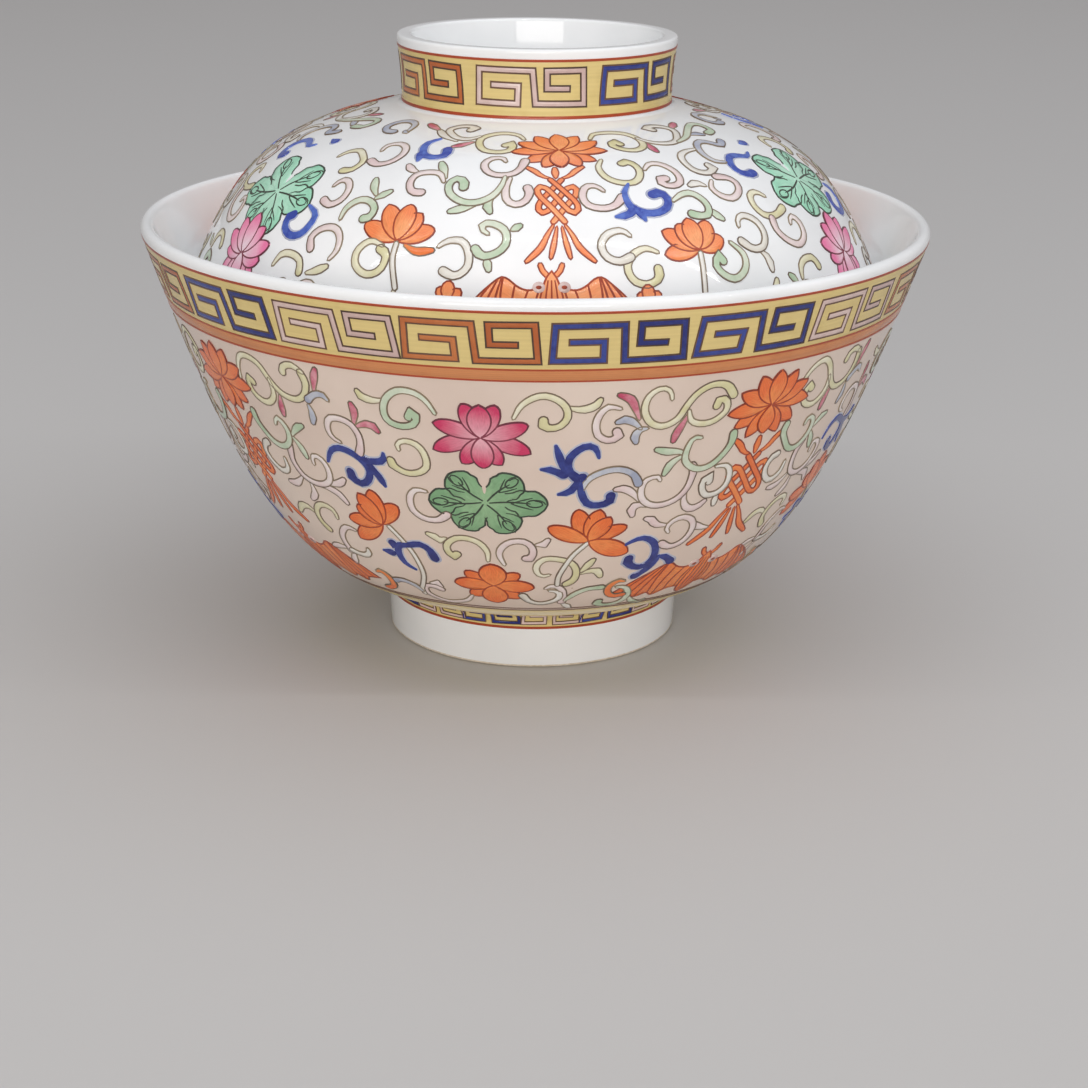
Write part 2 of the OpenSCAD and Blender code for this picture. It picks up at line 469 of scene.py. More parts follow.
def strip(guide, left, right, lift, across=3, closed=False, wide=False):
    """One raised layer of enamel between two edges of equal length, each a row of places. Its
    section is a closed loop: the left edge under the glaze, a crown of lift (1 - 0.15 v^2) across
    v = -1..1 with a short slope at both sides, and the right edge under the glaze. A wide
    strip's underside follows the wall too. The brush coordinates are (along, across)."""
    gap = (right - left) * np.stack([np.radians(guide.radius(left[:, 1])), np.ones(len(left))], 1)
    slope = np.clip(2 * edge_slope / np.maximum(np.linalg.norm(gap, axis=1), 0.01), 0.02, 0.3)
    v = (1 - slope)[:, None] * np.linspace(-1, 1, across) if across > 1 else 0 * slope[:, None]
    height = lift * (1 - 0.15 * v ** 2)
    under = v[:, ::-1] if wide else v[:, :0]
    v = np.hstack([v[:, :1] * 0 - 1, v, v[:, :1] * 0 + 1, under])
    height = np.pad(height, ((0, 0), (1, 1 + under.shape[1])), constant_values=buried)
    spots = (left[:, None] * (1 - v[..., None]) + right[:, None] * (1 + v[..., None])) / 2
    points = guide.place(spots, height)
    n, k = points.shape[:2]
    faces = [quads(n if closed else n - 1, k, n, k)]
    if not closed:
        faces += [np.arange(k)[::-1][None], (np.arange(k) + (n - 1) * k)[None]]
    along = np.linspace(0, 1, n)[:, None] + 0 * v
    if closed:
        along = 0.5 - 0.5 * np.cos(math.tau * np.arange(n) / n)[:, None] + 0 * v
    uv = np.stack([along, (v + 1) / 2], -1).reshape(-1, 2)
    return points.reshape(-1, 3), faces, uv


def smooth(spots, per_gap=6):
    """A Catmull-Rom curve through the places, per_gap steps from each to the next."""
    p = np.asarray(spots, float).reshape(-1, 2)
    p = np.vstack([2 * p[0] - p[1], p, 2 * p[-1] - p[-2]])
    t = (np.arange(per_gap) / per_gap)[None, :, None]
    a, b, c, d = (p[k:len(p) - 3 + k, None] for k in range(4))
    curve = 0.5 * (2 * b + (c - a) * t + (2 * a - 5 * b + 4 * c - d) * t ** 2
                   + (3 * b - a - 3 * c + d) * t ** 3)
    return np.vstack([curve.reshape(-1, 2), p[-2:-1]])


def spaced(guide, spots, gap, closed=False):
    """The same path with a place every gap mm or so."""
    p = np.vstack([spots, spots[:1]]) if closed else spots
    scale = np.stack([np.radians(guide.radius(p[:, 1])), np.ones(len(p))], 1)
    steps = np.linalg.norm(np.diff(p, axis=0) * (scale[1:] + scale[:-1]) / 2, axis=1)
    way = np.concatenate([[0], np.cumsum(steps)])
    count = max(3, int(way[-1] / gap) + 1)
    at = np.linspace(0, way[-1], count + (1 if closed else 0))
    found = np.stack([np.interp(at, way, p[:, 0]), np.interp(at, way, p[:, 1])], 1)
    return found[:-1] if closed else found


def edges(guide, spots, half, closed=False, round_ends=True):
    """The two edges of a brush stroke of half width half (one number, or one for each place). At
    a bend with unit normals m and n the edge moves by half (m + n) / (1 + m.n); an open stroke
    gets a round end at both ends, half cos f wide at half sin f beyond the last place."""
    half = np.broadcast_to(half, len(spots)).astype(float)
    if not closed and round_ends:
        scale = np.radians(guide.radius(spots[[0, -1], 1]))
        to_mm = np.stack([scale, -np.ones(2)], 1)
        first = (spots[0] - spots[1]) * to_mm[0]
        last = (spots[-1] - spots[-2]) * to_mm[1]
        f = np.radians([22, 44, 64, 82])[:, None]
        head = spots[0] + first / np.linalg.norm(first) * half[0] * np.sin(f[::-1]) / to_mm[0]
        tail = spots[-1] + last / np.linalg.norm(last) * half[-1] * np.sin(f) / to_mm[1]
        spots = np.vstack([head, spots, tail])
        half = np.concatenate([half[0] * np.cos(f[::-1, 0]), half, half[-1] * np.cos(f[:, 0])])
    p = np.vstack([spots[-1:], spots, spots[:1]]) if closed else spots
    scale = np.stack([np.radians(guide.radius(p[:, 1])), -np.ones(len(p))], 1)
    step = np.diff(p, axis=0) * (scale[1:] + scale[:-1]) / 2
    normal = np.stack([-step[:, 1], step[:, 0]], 1) / np.maximum(np.linalg.norm(step, axis=1), 1e-9)[:, None]
    if not closed:
        normal = np.vstack([normal[:1], normal, normal[-1:]])
    m, n = normal[:-1], normal[1:]
    move = (m + n) / np.maximum(1 + (m * n).sum(1), 0.6)[:, None] * half[:, None]
    move = move / np.stack([np.radians(guide.radius(spots[:, 1])), -np.ones(len(spots))], 1)
    return spots + move, spots - move


def outline(guide, sides, half, lift, gap=0.55):
    """A thin line all round the shape that lies between two edges."""
    loop = spaced(guide, np.vstack([sides[0], sides[1][::-1]]), gap, closed=True)
    return strip(guide, *edges(guide, loop, half, closed=True), lift, across=2, closed=True)


def line(guide, spots, half, lift=line_lift, gap=0.7):
    """A single thin stroke that swells to half and thins out at both ends."""
    spots = spaced(guide, spots, gap)
    swell = 0.45 + 0.55 * np.sin(np.linspace(0.15, 1, len(spots)) * math.pi) ** 0.5
    return strip(guide, *edges(guide, spots, half * swell), lift, across=2)


def hoop(guide, top, bottom, lift, waver=0.12, across=3):
    """A band all the way round between two runs, its edges wavering as a hand does on a wheel."""
    a = np.arange(360.0)
    turn = np.radians(a)

    def edge(run):
        waves = sum(brush.normal(0, waver / k) * np.sin(k * turn + brush.uniform(0, 6.3))
                    for k in (2, 3, 5, 9, 17))
        return np.stack([a, run + waves * 0.35], 1)

    return strip(guide, edge(top), edge(bottom), lift, across, closed=True, wide=True)


def key(guide, spot, shape, half):
    """The two edges of a stroke with square corners round a spot: each leg of the shape, in mm,
    is cut into steps of about one mm."""
    legs = np.asarray(shape, float)
    counts = np.maximum(1, np.round(np.linalg.norm(np.diff(legs, axis=0), axis=1))).astype(int)
    path = np.vstack([legs[k] + (legs[k + 1] - legs[k]) * np.arange(c)[:, None] / c
                      for k, c in enumerate(counts)] + [legs[-1:]])
    return edges(guide, guide.near(spot, path), half, round_ends=False)


def enamel_piece(name, strips, material, body, slot):
    """All strips of one colour as one piece."""
    counts = np.cumsum([0] + [len(points) for points, _, _ in strips])
    faces = {}
    for (_, blocks, _), shift in zip(strips, counts):
        for block in blocks:
            faces.setdefault(block.shape[1], []).append(block + shift)
    return add_piece(name, np.vstack([points for points, _, _ in strips]),
                     [np.vstack(blocks) for blocks in faces.values()], material, body, slot,
                     uv=np.vstack([uv for _, _, uv in strips]), crease=math.radians(50))


enamel_ior = 1.56
pit_spacing, pit_depth = 0.8 * MM, 0.06 * MM
streak_pattern = (2.5, 9.0, 1.0)


def enamel(name, root, tip, patch=2.5, depth=0.35, roughness=0.16, streaks=0.35):
    """Lead-glass enamel colour fired over the glaze: it runs from the root colour to the tip
    colour along the stroke, pools darker in patches of about patch mm, and shows the brush's
    streaks along its length. Its surface is faintly pitted, and bends light as a lead-silica
    flux does."""
    material, done = new_material(name)
    spot = node(material, "TexCoord").outputs["Object"]
    brushed = node(material, "UVMap", {"uv_map": "brush"}).outputs["UV"]
    along = node(material, "SeparateXYZ", Vector=brushed).outputs["X"]
    pool = node(material, "TexNoise", Vector=spot, Scale=1 / (patch * MM), Detail=4.0, Roughness=0.6)
    shifted = node(material, "MapRange", Value=pool.outputs["Fac"], in1=0.3, in2=0.7,
                   in3=-depth, in4=depth)
    mixed = node(material, "Math", {"operation": "ADD", "use_clamp": True}, in0=along,
                 in1=shifted.outputs["Result"])
    colour = ramp(material, mixed.outputs["Value"], (0.1, root), (0.85, tip))
    stretched = node(material, "Mapping", Vector=brushed, Scale=streak_pattern)
    hair = node(material, "TexNoise", Vector=stretched.outputs["Vector"], Scale=2.0, Detail=3.0)
    shade = ramp(material, hair.outputs["Fac"], (0.35, "c4bcb8"), (0.62, "ffffff"))
    streaked = node(material, "Mix", {"data_type": "RGBA", "blend_type": "MULTIPLY"},
                    in0=streaks, in6=colour, in7=shade)
    pits = node(material, "TexNoise", Vector=spot, Scale=1 / pit_spacing, Detail=2.0)
    relief = node(material, "Bump", Height=pits.outputs["Fac"], Strength=0.15, Distance=pit_depth)
    return done(node(material, "BsdfPrincipled", Base_Color=streaked.outputs[2], IOR=enamel_ior,
                     Roughness=roughness, Normal=relief.outputs["Normal"]))


# Iron red is a thin oxide wash: flat orange with brush streaks, a little less glossy than the
# glaze.
iron_red = enamel("iron_red_wash_enamel", "fa9450", "f2763a", patch=3.0, roughness=0.24, streaks=0.35)
# On the yellow ground the same red is thin and turns to a tawny brown.
fret_red = enamel("iron_red_fret_enamel", "cb7a44", "bb6230", patch=3.0, roughness=0.24, streaks=0.35)
# Drawn with a fine brush it goes on thick, a dark brick red with hardly any gloss.
iron_line = enamel("iron_red_line_enamel", "b0441c", "8a3012", patch=1.5, roughness=0.3)
# The band is the red let down with yellow, an even dull orange.
orange_band = enamel("orange_band_enamel", "d38b57", "c47746", patch=4.0, roughness=0.2)
# Antimony yellow is opaque and dull, the ground for the fret.
yellow_ground = enamel("antimony_yellow_enamel", "e2cb87", "d2b973", patch=5.0, roughness=0.2, streaks=0.15)
# Cobalt blue stands thick and glassy, nearly black where it pools.
blue = enamel("cobalt_blue_enamel", "3a4a9a", "232b76", patch=1.2, roughness=0.1)
# Pale pink: a touch of gold-rose in arsenic white.
fret_pink = enamel("pale_pink_enamel", "e3cbc4", "cfb2ac", patch=2.5, streaks=0.2)
# The painter's fine lines are a dry dark brown, which look soft beside the glossy enamels.
brown_line = enamel("brown_line_enamel", "6a4a36", "4c3526", patch=1.5, roughness=0.35, streaks=0.2)

fret = np.array([(-6.5, .3), (-2, .3), (-2, -2.6), (-8.5, -2.6), (-8.5, 2.7), (.4, 2.7), (.8, -2.7),
                 (8.7, -2.7), (8.5, 2.7), (2.6, 2.7), (2.6, -.2), (6.3, -.2)])
fret_half, fret_line = 0.44, 0.15
fret_paints = {"red": (fret_red, "iron_red_enamel"), "blue": (blue, "blue_enamel"),
               "pink": (fret_pink, "pale_enamel")}


def fret_border(part, body, guide, units, run, ground, size=1.0, half=fret_half, thin=fret_line,
                shake=0.05, sway=0.0, rise=0.02, line_rise=0.01):
    """A yellow ground, given as (top run, bottom run, waver, places across), and on it a row of
    frets at one run, one for each (angle, colour). A hand shifts each by sway degrees and its
    corners by shake mm, both as the spread of a normal draw. Gives back the frets' outlines."""
    fills, lines = {}, []
    for angle, colour in units:
        spot = (angle + (brush.normal(0, sway) if sway else 0), run)
        sides = key(guide, spot, fret * size + brush.normal(0, shake, fret.shape), half)
        fills.setdefault(colour, []).append(strip(guide, *sides, wash_lift + rise))
        loop = edges(guide, np.vstack([sides[0], sides[1][::-1]]), thin, closed=True)
        lines.append(strip(guide, *loop, line_lift + line_rise, across=2, closed=True))
    top, bottom, waver, across = ground
    enamel_piece(part + "_border_ground", [hoop(guide, top, bottom, ground_lift, waver, across)],
                 yellow_ground, body, "yellow_enamel")
    for colour, (material, slot) in fret_paints.items():
        if colour in fills:
            enamel_piece(part + "_fret_" + colour, fills[colour], material, body, slot)
    return lines


bowl_line = np.vstack([bowl_outside[::-1], corner(
    heel, [foot_top, heel[1] - heel_slope * (heel[0] - foot_top)], [foot_top, foot_height])[1:],
    [[foot_radius, rim_round]]])
lip_run = 1.1
bowl_guide = Guide(bowl_line, lip_run)

# The painter set the frets a little closer together on one side, hence the bunching.
fret_order = ("red blue blue pink red blue blue pink red blue blue pink "
              "red blue pink red blue pink").split()
fret_pitch = 360 / len(fret_order)
bunching = 1.3
fret_angles = [-8.4 + fret_pitch * k - bunching * math.sin(math.tau * k / len(fret_order))
               for k in range(len(fret_order))]
fret_lines = fret_border("bowl", "bowl", bowl_guide, zip(fret_angles, fret_order), run=6.1,
                         ground=(1.55, 10.15, 0.04, 11), sway=0.15)
enamel_piece("bowl_fret_lines", fret_lines, brown_line, "bowl", "brown_line_enamel")
enamel_piece("bowl_border_band", [hoop(bowl_guide, 10.0, 11.85, wash_lift, 0.05)], orange_band, "bowl",
             "iron_red_enamel")
enamel_piece("bowl_border_lines", [hoop(bowl_guide, top, top + width, line_lift, 0.05, across=2)
                                   for top, width in ((1.35, 0.42), (9.95, 0.3), (11.65, 0.34))],
             iron_line, "bowl", "iron_red_enamel")

# ---------------------------------------------------------------------------------------------
# The rose lotuses of the bowl, four of them, each over a green lotus leaf and a small orange
# lotus. Gold-rose enamel is laid thick at the tips and washed out to the root.
# ---------------------------------------------------------------------------------------------
rose = enamel("gold_rose_enamel", "f0b4c0", "d43a68", patch=3.5, depth=0.12, roughness=0.12, streaks=0.3)
# The drawing over it is a dry dark rose, a fine dull line between the glossy petals.
rose_line = enamel("dark_rose_line_enamel", "8c3a4e", "6b2a3c", patch=1.5, roughness=0.3)
# Copper green over a black drawing: thick, clear and glassy.
green = enamel("copper_green_enamel", "98bf92", "80ac80", patch=2.0, roughness=0.09, streaks=0.25)
# The leaf's veins are a matt green-black, the darkest line on the bowl.
vein_line = enamel("black_vein_enamel", "3d4a3a", "2b352b", patch=1.0, roughness=0.35)
petal_step = 0.013


def petal(guide, spot, tip, half, lift, bend=0.0, across=5, blunt=0.55):
    """A petal from a spot to a tip (right, up) mm away and its outline: half width
    half sin(pi u^1.15)^blunt at the fraction u of its length, its axis bowed sideways by bend."""
    u = np.linspace(0, 1, 13)[:, None]
    tip = np.asarray(tip, float)
    bow = np.array([-tip[1], tip[0]]) * bend * np.sin(math.pi * u)
    axis = guide.near(spot, tip * u + bow)
    wide = half * np.maximum(np.sin(math.pi * u[:, 0] ** 1.15), 0.0) ** blunt
    wide = np.maximum(wide, 0.05)
    sides = edges(guide, axis, wide, round_ends=False)
    return strip(guide, *sides, lift, across), sides


def flower(guide, spot, petals, into, into_lines, half=0.15, size=1.0, blunt=0.55):
    """Petals laid one over another, the first lowest, each with its outline."""
    for k, (x, y, wide) in enumerate(petals):
        lift = wash_lift + petal_step * k
        tip = np.array([x, y]) * size + brush.normal(0, 0.08, 2)
        blade, sides = petal(guide, spot, tip, wide * size, lift, brush.normal(0, 0.025), blunt=blunt)
        into.append(blade)
        into_lines.append(outline(guide, sides, half, lift + 0.012))


rose_petals = [(-6.5, -2.4, 1.3), (6.5, -2.4, 1.3), (-2.6, -4.4, 1.3), (2.6, -4.4, 1.3), (-6.2, 2.2, 1.25),
               (6.2, 2.2, 1.25), (-2.3, 5.2, 1.35), (2.3, 5.2, 1.35), (0, -5.1, 1.5), (0, 5.3, 1.6)]
leaf_lobes = [(-7.8, -.4), (8.4, 0), (-4.7, 4.6), (4.8, 4.6), (-3.9, -4.9), (3.7, -5.2)]


def leaf(guide, spot, lobes, into, into_lines, half=2.35, fattest=0.64):
    """A lotus leaf seen from above: paddle-shaped lobes, whose half width grows from 0.4 half to
    half as a sine squared and closes in a quarter ellipse, with a scalloped edge, a vein down
    each with side veins, and a rolled tip drawn as an oval."""
    scallops, scallop_depth = 8, 0.06
    free_edge = 8
    vein_lift = wash_lift + 0.04
    for k, (x, y) in enumerate(lobes):
        way = np.array([x, y], float)
        length = np.linalg.norm(way)
        side = np.array([-way[1], way[0]]) / length
        u = np.linspace(0, 1, 25)[:, None]
        grow = 0.4 + 0.6 * np.sin(math.pi / 2 * np.minimum(u[:, 0] / fattest, 1)) ** 2
        close = np.sqrt(np.maximum(1 - (np.maximum(u[:, 0] - fattest, 0) / (1 - fattest)) ** 2, 0))
        wide = half * grow * close
        wide = np.maximum(wide * (1 + scallop_depth * np.sin(u[:, 0] * scallops * math.pi)), 0.06)
        axis = guide.near(spot, way * u)
        sides = edges(guide, axis, wide, round_ends=False)
        into.append(strip(guide, *sides, wash_lift + 0.003 * k, across=7))
        rim = np.vstack([sides[0][free_edge:], sides[1][free_edge:][::-1]])
        into_lines.append(line(guide, rim, 0.17, wash_lift + 0.035, gap=0.5))
        vein = guide.near(spot, way * np.linspace(0.08, 0.72, 8)[:, None]
                          + side * 0.25 * np.sin(np.linspace(0, 3, 8))[:, None])
        into_lines.append(line(guide, vein, 0.19, vein_lift))
        for spread in (0.75, -0.75):
            t = np.linspace(0, 1, 6)[:, None]
            rib = way * (0.42 + 0.34 * t) + side * spread * half * 0.6 * t ** 0.8
            into_lines.append(line(guide, guide.near(spot, rib), 0.14, vein_lift))
        turn = np.linspace(0, math.tau * 1.25, 22)[:, None]
        shrink = 1 - 0.25 * turn / math.tau
        oval = way * (0.8 + 1.35 / length * np.cos(turn) * shrink) + side * 0.75 * np.sin(turn) * shrink
        into_lines.append(line(guide, guide.near(spot, oval), 0.15, vein_lift, gap=0.45))


def flower_pieces(body, blades, veins, petals, petal_lines, leaf_paint, petal_paint):
    """The lotus leaves and rose lotuses of one body, as four pieces."""
    enamel_piece(body + "_leaf_blades", blades, leaf_paint, body, "green_enamel")
    enamel_piece(body + "_leaf_veins", veins, vein_line, body, "brown_line_enamel")
    enamel_piece(body + "_rose_petals", petals, petal_paint, body, "rose_enamel")
    enamel_piece(body + "_rose_lines", petal_lines, rose_line, body, "brown_line_enamel")


rose_axes = np.array([-7.8, 82.0, 172.0, 260.0])
orange_axes = np.array([37.5, 127.0, 216.0, 304.0])
petals, petal_lines, blades, veins, buds, bud_lines = ([] for _ in range(6))
small_lotus = [(-3.6, -3.4, 1.32), (3.6, -3.4, 1.32), (-3.8, 3.2, 1.2), (3.8, 3.2, 1.2), (-5.6, 0.1, 1.5),
               (5.6, -0.3, 1.5), (0, -5.3, 1.8), (0, 5.2, 1.92)]
rose_run, leaf_run, small_lotus_run = 20.9, 32.0, 49.2
for axis in rose_axes:
    leaf(bowl_guide, (axis, leaf_run), leaf_lobes, blades, veins)
    flower(bowl_guide, (axis, rose_run), rose_petals, petals, petal_lines)
    flower(bowl_guide, (axis - 0.2, small_lotus_run), small_lotus, buds, bud_lines)
flower_pieces("bowl", blades, veins, petals, petal_lines, green, rose)
enamel_piece("bowl_small_lotus_petals", buds, iron_red, "bowl", "iron_red_enamel")
enamel_piece("bowl_small_lotus_lines", bud_lines, iron_line, "bowl", "iron_red_enamel")

# ---------------------------------------------------------------------------------------------
# The iron-red figures of the bowl, between the rose lotuses: a large lotus at the top, an endless
# knot with ribbons and tassels, a bat with spread wings above the foot, and half lotuses on
# stems. They are drawn with the same wash and the same dark line.
# ---------------------------------------------------------------------------------------------
def stroke(guide, spots, half, lift, into, into_lines, wide=None, gap=0.8, thin=0.115):
    """A brush stroke through the places with an outline. Its half width is half times wide(u)
    at the fraction u of its length, or half all along."""
    path = spaced(guide, smooth(spots), gap)
    u = np.linspace(0, 1, len(path))
    sides = edges(guide, path, half * (wide(u) if wide else 1 + 0 * u))
    into.append(strip(guide, *sides, lift))
    if into_lines is not None:
        into_lines.append(outline(guide, sides, thin, lift + 0.013, gap=0.4))


def taper(u):
    """Thin at the root, full from a third of the way, and a little bulb at the end."""
    bulb = 0.3 * np.exp(-((u - 0.97) / 0.07) ** 2)
    return 0.5 + 0.5 * np.sin(np.minimum(u / 0.35, 1) * math.pi / 2) + bulb


def drop(u):
    """Thin at the root and fat before the tip."""
    return 0.35 + 0.65 * np.sin(math.pi * np.clip(0.02 + 0.83 * u ** 1.3, 0, 1))


def disc(guide, spot, radius, lift):
    """A small round dot."""
    return strip(guide, *edges(guide, guide.near(spot, [(-0.03, 0), (0, 0), (0.03, 0)]), radius), lift)


def knot(guide, spot, size, slim, into, into_lines):
    """An endless knot of three bands each way, each band turning back in a loop at its ends, with
    two ribbons and a bud above it and four tassel strands below it."""
    bands = np.array([(-3.9, -2.2), (0, -2.2), (3.4, -2.2), (4.6, -1.1), (3.4, 0), (0, 0), (-3.4, 0),
                      (-4.6, 1.1), (-3.4, 2.2), (0, 2.2), (3.9, 2.2)])
    tilt = np.array([(1, 1), (-1, 1)]) / math.sqrt(2)
    up = np.array([0, 2.0])
    parts = [([(-0.9, 6.6), (-2.2, 7.3), (-3.2, 8.6), (-4.4, 9.6)], 0.5),
             ([(0.9, 6.6), (2.2, 7.3), (3.2, 8.6), (4.4, 9.6)], 0.5),
             ([(0, 6.8), (0, 8.0), (0, 9.2)], 0.62),
             ([(-0.9, -2.9), (-1.9, -4.6), (-3, -6.8), (-5.2, -9)], 0.5),
             ([(0.9, -2.9), (1.9, -4.6), (3, -6.8), (5.2, -9)], 0.5),
             ([(-0.4, -3.2), (-0.8, -5.4), (-1.5, -8.4)], 0.42),
             ([(0.4, -3.2), (0.8, -5.4), (1.5, -8.4)], 0.42)]
    for legs, half in parts:
        path = guide.near(spot, np.array(legs) * size)
        stroke(guide, path, half * size, wash_lift, into, into_lines, drop)
    band_half = 0.44
    for rise, way in ((0.015, bands), (0.035, bands[:, ::-1])):
        path = guide.near(spot, (way @ tilt + up) * [size * slim, size])
        stroke(guide, path, band_half * size, wash_lift + rise, into, into_lines)


def bat(guide, spot, size, into, into_lines, into_eyes, into_rings):
    """A bat seen from above: each wing a sheet between its arm and its scalloped edge, ribs from
    the wrist, a body like a petal, two ringed eyes and two ears."""
    arm = np.array([(0.8, 3.0), (3.2, 2.2), (5.0, 3.0), (6.6, 4.2), (9.0, 2.4), (11, 0.3), (12.6, -2.2)])
    hem = np.array([(0.8, -3.4), (3.4, -3.2), (5.2, -4.9), (6.6, -3.4), (8.2, -4.7), (9.6, -3.0),
                    (12.6, -2.2)])
    ribs = [((1.6, 2.6), (2.2, -3.1)), ((3.2, 2.3), (3.9, -3.4)), ((5.0, 3.0), (5.2, -4.7)),
            ((6.6, 4.0), (6.5, -3.3)), ((6.8, 4.0), (8.2, -4.5)), ((7.4, 3.6), (9.6, -2.9)),
            ((8.4, 2.9), (11.2, -2.4))]
    for side in (-1, 1):
        flip = np.array([side, 1]) * size
        top = spaced(guide, smooth(guide.near(spot, arm * flip)), 0.9)
        low = spaced(guide, smooth(guide.near(spot, hem * flip)), 0.9)
        at = np.linspace(0, 1, 21)
        top, low = (np.stack([np.interp(at, np.linspace(0, 1, len(e)), e[:, k]) for k in (0, 1)], 1)
                    for e in (top, low))
        sides = (top, low) if side > 0 else (low, top)
        into.append(strip(guide, *sides, wash_lift, across=7))
        into_lines.append(outline(guide, sides, 0.16, wash_lift + 0.015))
        for a, b in ribs:
            t = np.linspace(0, 1, 7)[:, None]
            rib = np.array(a) * (1 - t) + np.array(b) * t + [0.5, 0] * np.sin(math.pi * t)
            into_lines.append(line(guide, guide.near(spot, rib * flip), 0.2 * size, wash_lift + 0.02))
        eye = guide.near(spot, np.array([1.75, 2.7]) * flip)
        into_rings.append(disc(guide, eye, 0.85 * size, wash_lift + 0.05))
        into_eyes.append(disc(guide, eye, 0.36 * size, wash_lift + 0.08))
        ear = [(0.6, 4.4), (1.3, 5.2), (1.5, 5.9)]
        stroke(guide, guide.near(spot, np.array(ear) * flip), 0.35 * size, wash_lift, into, into_lines)
    neck, tail, body_half = (0, 5.0 * size), (0, -10.8 * size), 1.75 * size
    body, sides = petal(guide, guide.near(spot, neck), tail, body_half, wash_lift + 0.02)
    into.append(body)
    into_lines.append(outline(guide, sides, 0.16, wash_lift + 0.035))
    for x in (-0.8, 0, 0.8):
        path = np.array([(x * 0.6, 3.6), (x, 1.5), (x, -2.5), (x * 0.5, -5)])
        into_lines.append(line(guide, guide.near(spot, path * size), 0.16 * size, wash_lift + 0.045))


def figure_pieces(body, reds, red_lines, rings, dots, wash):
    """The iron-red figures of one body, as four pieces."""
    enamel_piece(body + "_red_figures", reds, wash, body, "iron_red_enamel")
    enamel_piece(body + "_red_figure_lines", red_lines, iron_line, body, "iron_red_enamel")
    enamel_piece(body + "_bat_eye_rings", rings, fret_pink, body, "pale_enamel")
    enamel_piece(body + "_bat_eyes", dots, iron_line, body, "iron_red_enamel")


def sector(left, middle, right, nominal_left, nominal_right):
    """A function that turns offsets from a sector's axis into angles: each side is stretched by
    its real width over the nominal width that the offsets were drawn for."""
    def turn(spots):
        spots = np.asarray(spots, float).reshape(-1, 2).copy()
        x = spots[:, 0]
        spots[:, 0] = middle + np.where(x < 0, x * (middle - left) / nominal_left,
                                        x * (right - middle) / nominal_right)
        return spots
    return turn


sector_spans = [93.5, 90, 90, 90]
bowl_sectors = [sector(orange - span, rose_axis, orange, 48.2, 45.3)
                for rose_axis, orange, span in zip(rose_axes, orange_axes, sector_spans)]
big_lotus = [(-5.0, -3.0, 1.2), (5.0, -3.0, 1.2), (-2.6, -4.6, 1.2), (2.6, -4.6, 1.2), (-6.8, -0.6, 1.2),
             (7.0, -0.4, 1.2), (-5.6, 2.6, 1.2), (5.8, 2.6, 1.2), (-2.9, 4.6, 1.25), (3.0, 4.6, 1.25),
             (0, -4.6, 1.35), (0, 5.2, 1.4)]
half_right = [(-2.2, 6.2, 1.35), (1, 6, 1.46), (5.3, 2.4, 1.19), (2.6, 4.4, 1.3), (-5.8, 2.9, 1.3),
              (5.8, -2.9, 1.57)]
half_left = [(-4.9, -3.9, 1.4), (3.4, 4.3, 1.4), (-5.6, -.2, 1.3), (0, 6.5, 1.4), (-3.5, 3, 1.3),
             (-2.5, 5.3, 1.4)]
lotus_run, knot_run, bat_run = 18.5, 33.2, 50.0
half_right_spot, half_left_spot = (17.7, 39.2), (-19.9, 38.3)
reds, red_lines, rings, dots = ([] for _ in range(4))
for axis, turn in zip(orange_axes, bowl_sectors):
    flower(bowl_guide, (axis, lotus_run), big_lotus, reds, red_lines, size=1.05, blunt=0.75)
    knot(bowl_guide, (axis, knot_run), 1.0, 0.8, reds, red_lines)
    bat(bowl_guide, (axis, bat_run), 1.0, reds, red_lines, dots, rings)
    flower(bowl_guide, turn(half_right_spot)[0], half_right, reds, red_lines)
    flower(bowl_guide, turn(half_left_spot)[0], half_left, reds, red_lines)
figure_pieces("bowl", reds, red_lines, rings, dots, iron_red)

# ---------------------------------------------------------------------------------------------
# The scrolling tendrils of the bowl, which fill the space between the flowers: pale enamels
# inside a thin dark line, stems to the half lotuses, and cobalt blue curls in a soft grey halo.
# Each stroke is a row of places: an offset in degrees from a rose lotus, then the run down from
# the lip in mm, and so on.
# ---------------------------------------------------------------------------------------------
# The pale colours are tints in arsenic white, opaque and glossy; each goes from a milky root to
# a fuller tint at the tip.
scroll_paints = {
    "yellow": enamel("pale_yellow_enamel", "f1edd6", "ddd7a8", patch=3.0, roughness=0.14, streaks=0.15),
    "pink": enamel("pale_rose_enamel", "f3e9e5", "e6cfcd", patch=3.0, roughness=0.14, streaks=0.15),
    "white": enamel("arsenic_white_enamel", "f1efe9", "e3ded2", patch=3.0, roughness=0.14, streaks=0.1),
    "green": enamel("pale_green_enamel", "e3e8d6", "b6cdac", patch=3.0, roughness=0.14, streaks=0.15),
    "grey": enamel("grey_blue_enamel", "d8dadf", "a4abc0", patch=2.5, roughness=0.14, streaks=0.2),
    "rose": enamel("rose_bud_enamel", "ecb0b8", "c4486a", patch=2.0, roughness=0.12),
    "red": iron_red,
}
scroll_slots = {"yellow": "yellow_enamel", "green": "green_enamel", "rose": "rose_enamel",
                "red": "iron_red_enamel"}
# Round a blue curl the cobalt bled into the glaze in firing, a faint blue-grey haze.
halo = enamel("blue_halo_enamel", "c3c6d4", "a9afc6", patch=2.0, roughness=0.14, streaks=0.1)
# The scrolls' outline is a worn olive brown, thinner and paler than the border's.
scroll_line = enamel("olive_brown_line_enamel", "8f7f66", "6c5b4a", patch=6.0, roughness=0.35, streaks=0.2)
scroll_half, stem_half, bud_half, blue_half = 0.5, 0.36, 0.62, 0.58
halo_reach, halo_lift, curl_rise = 0.24, 0.035, 0.1
hand_shake = 0.08

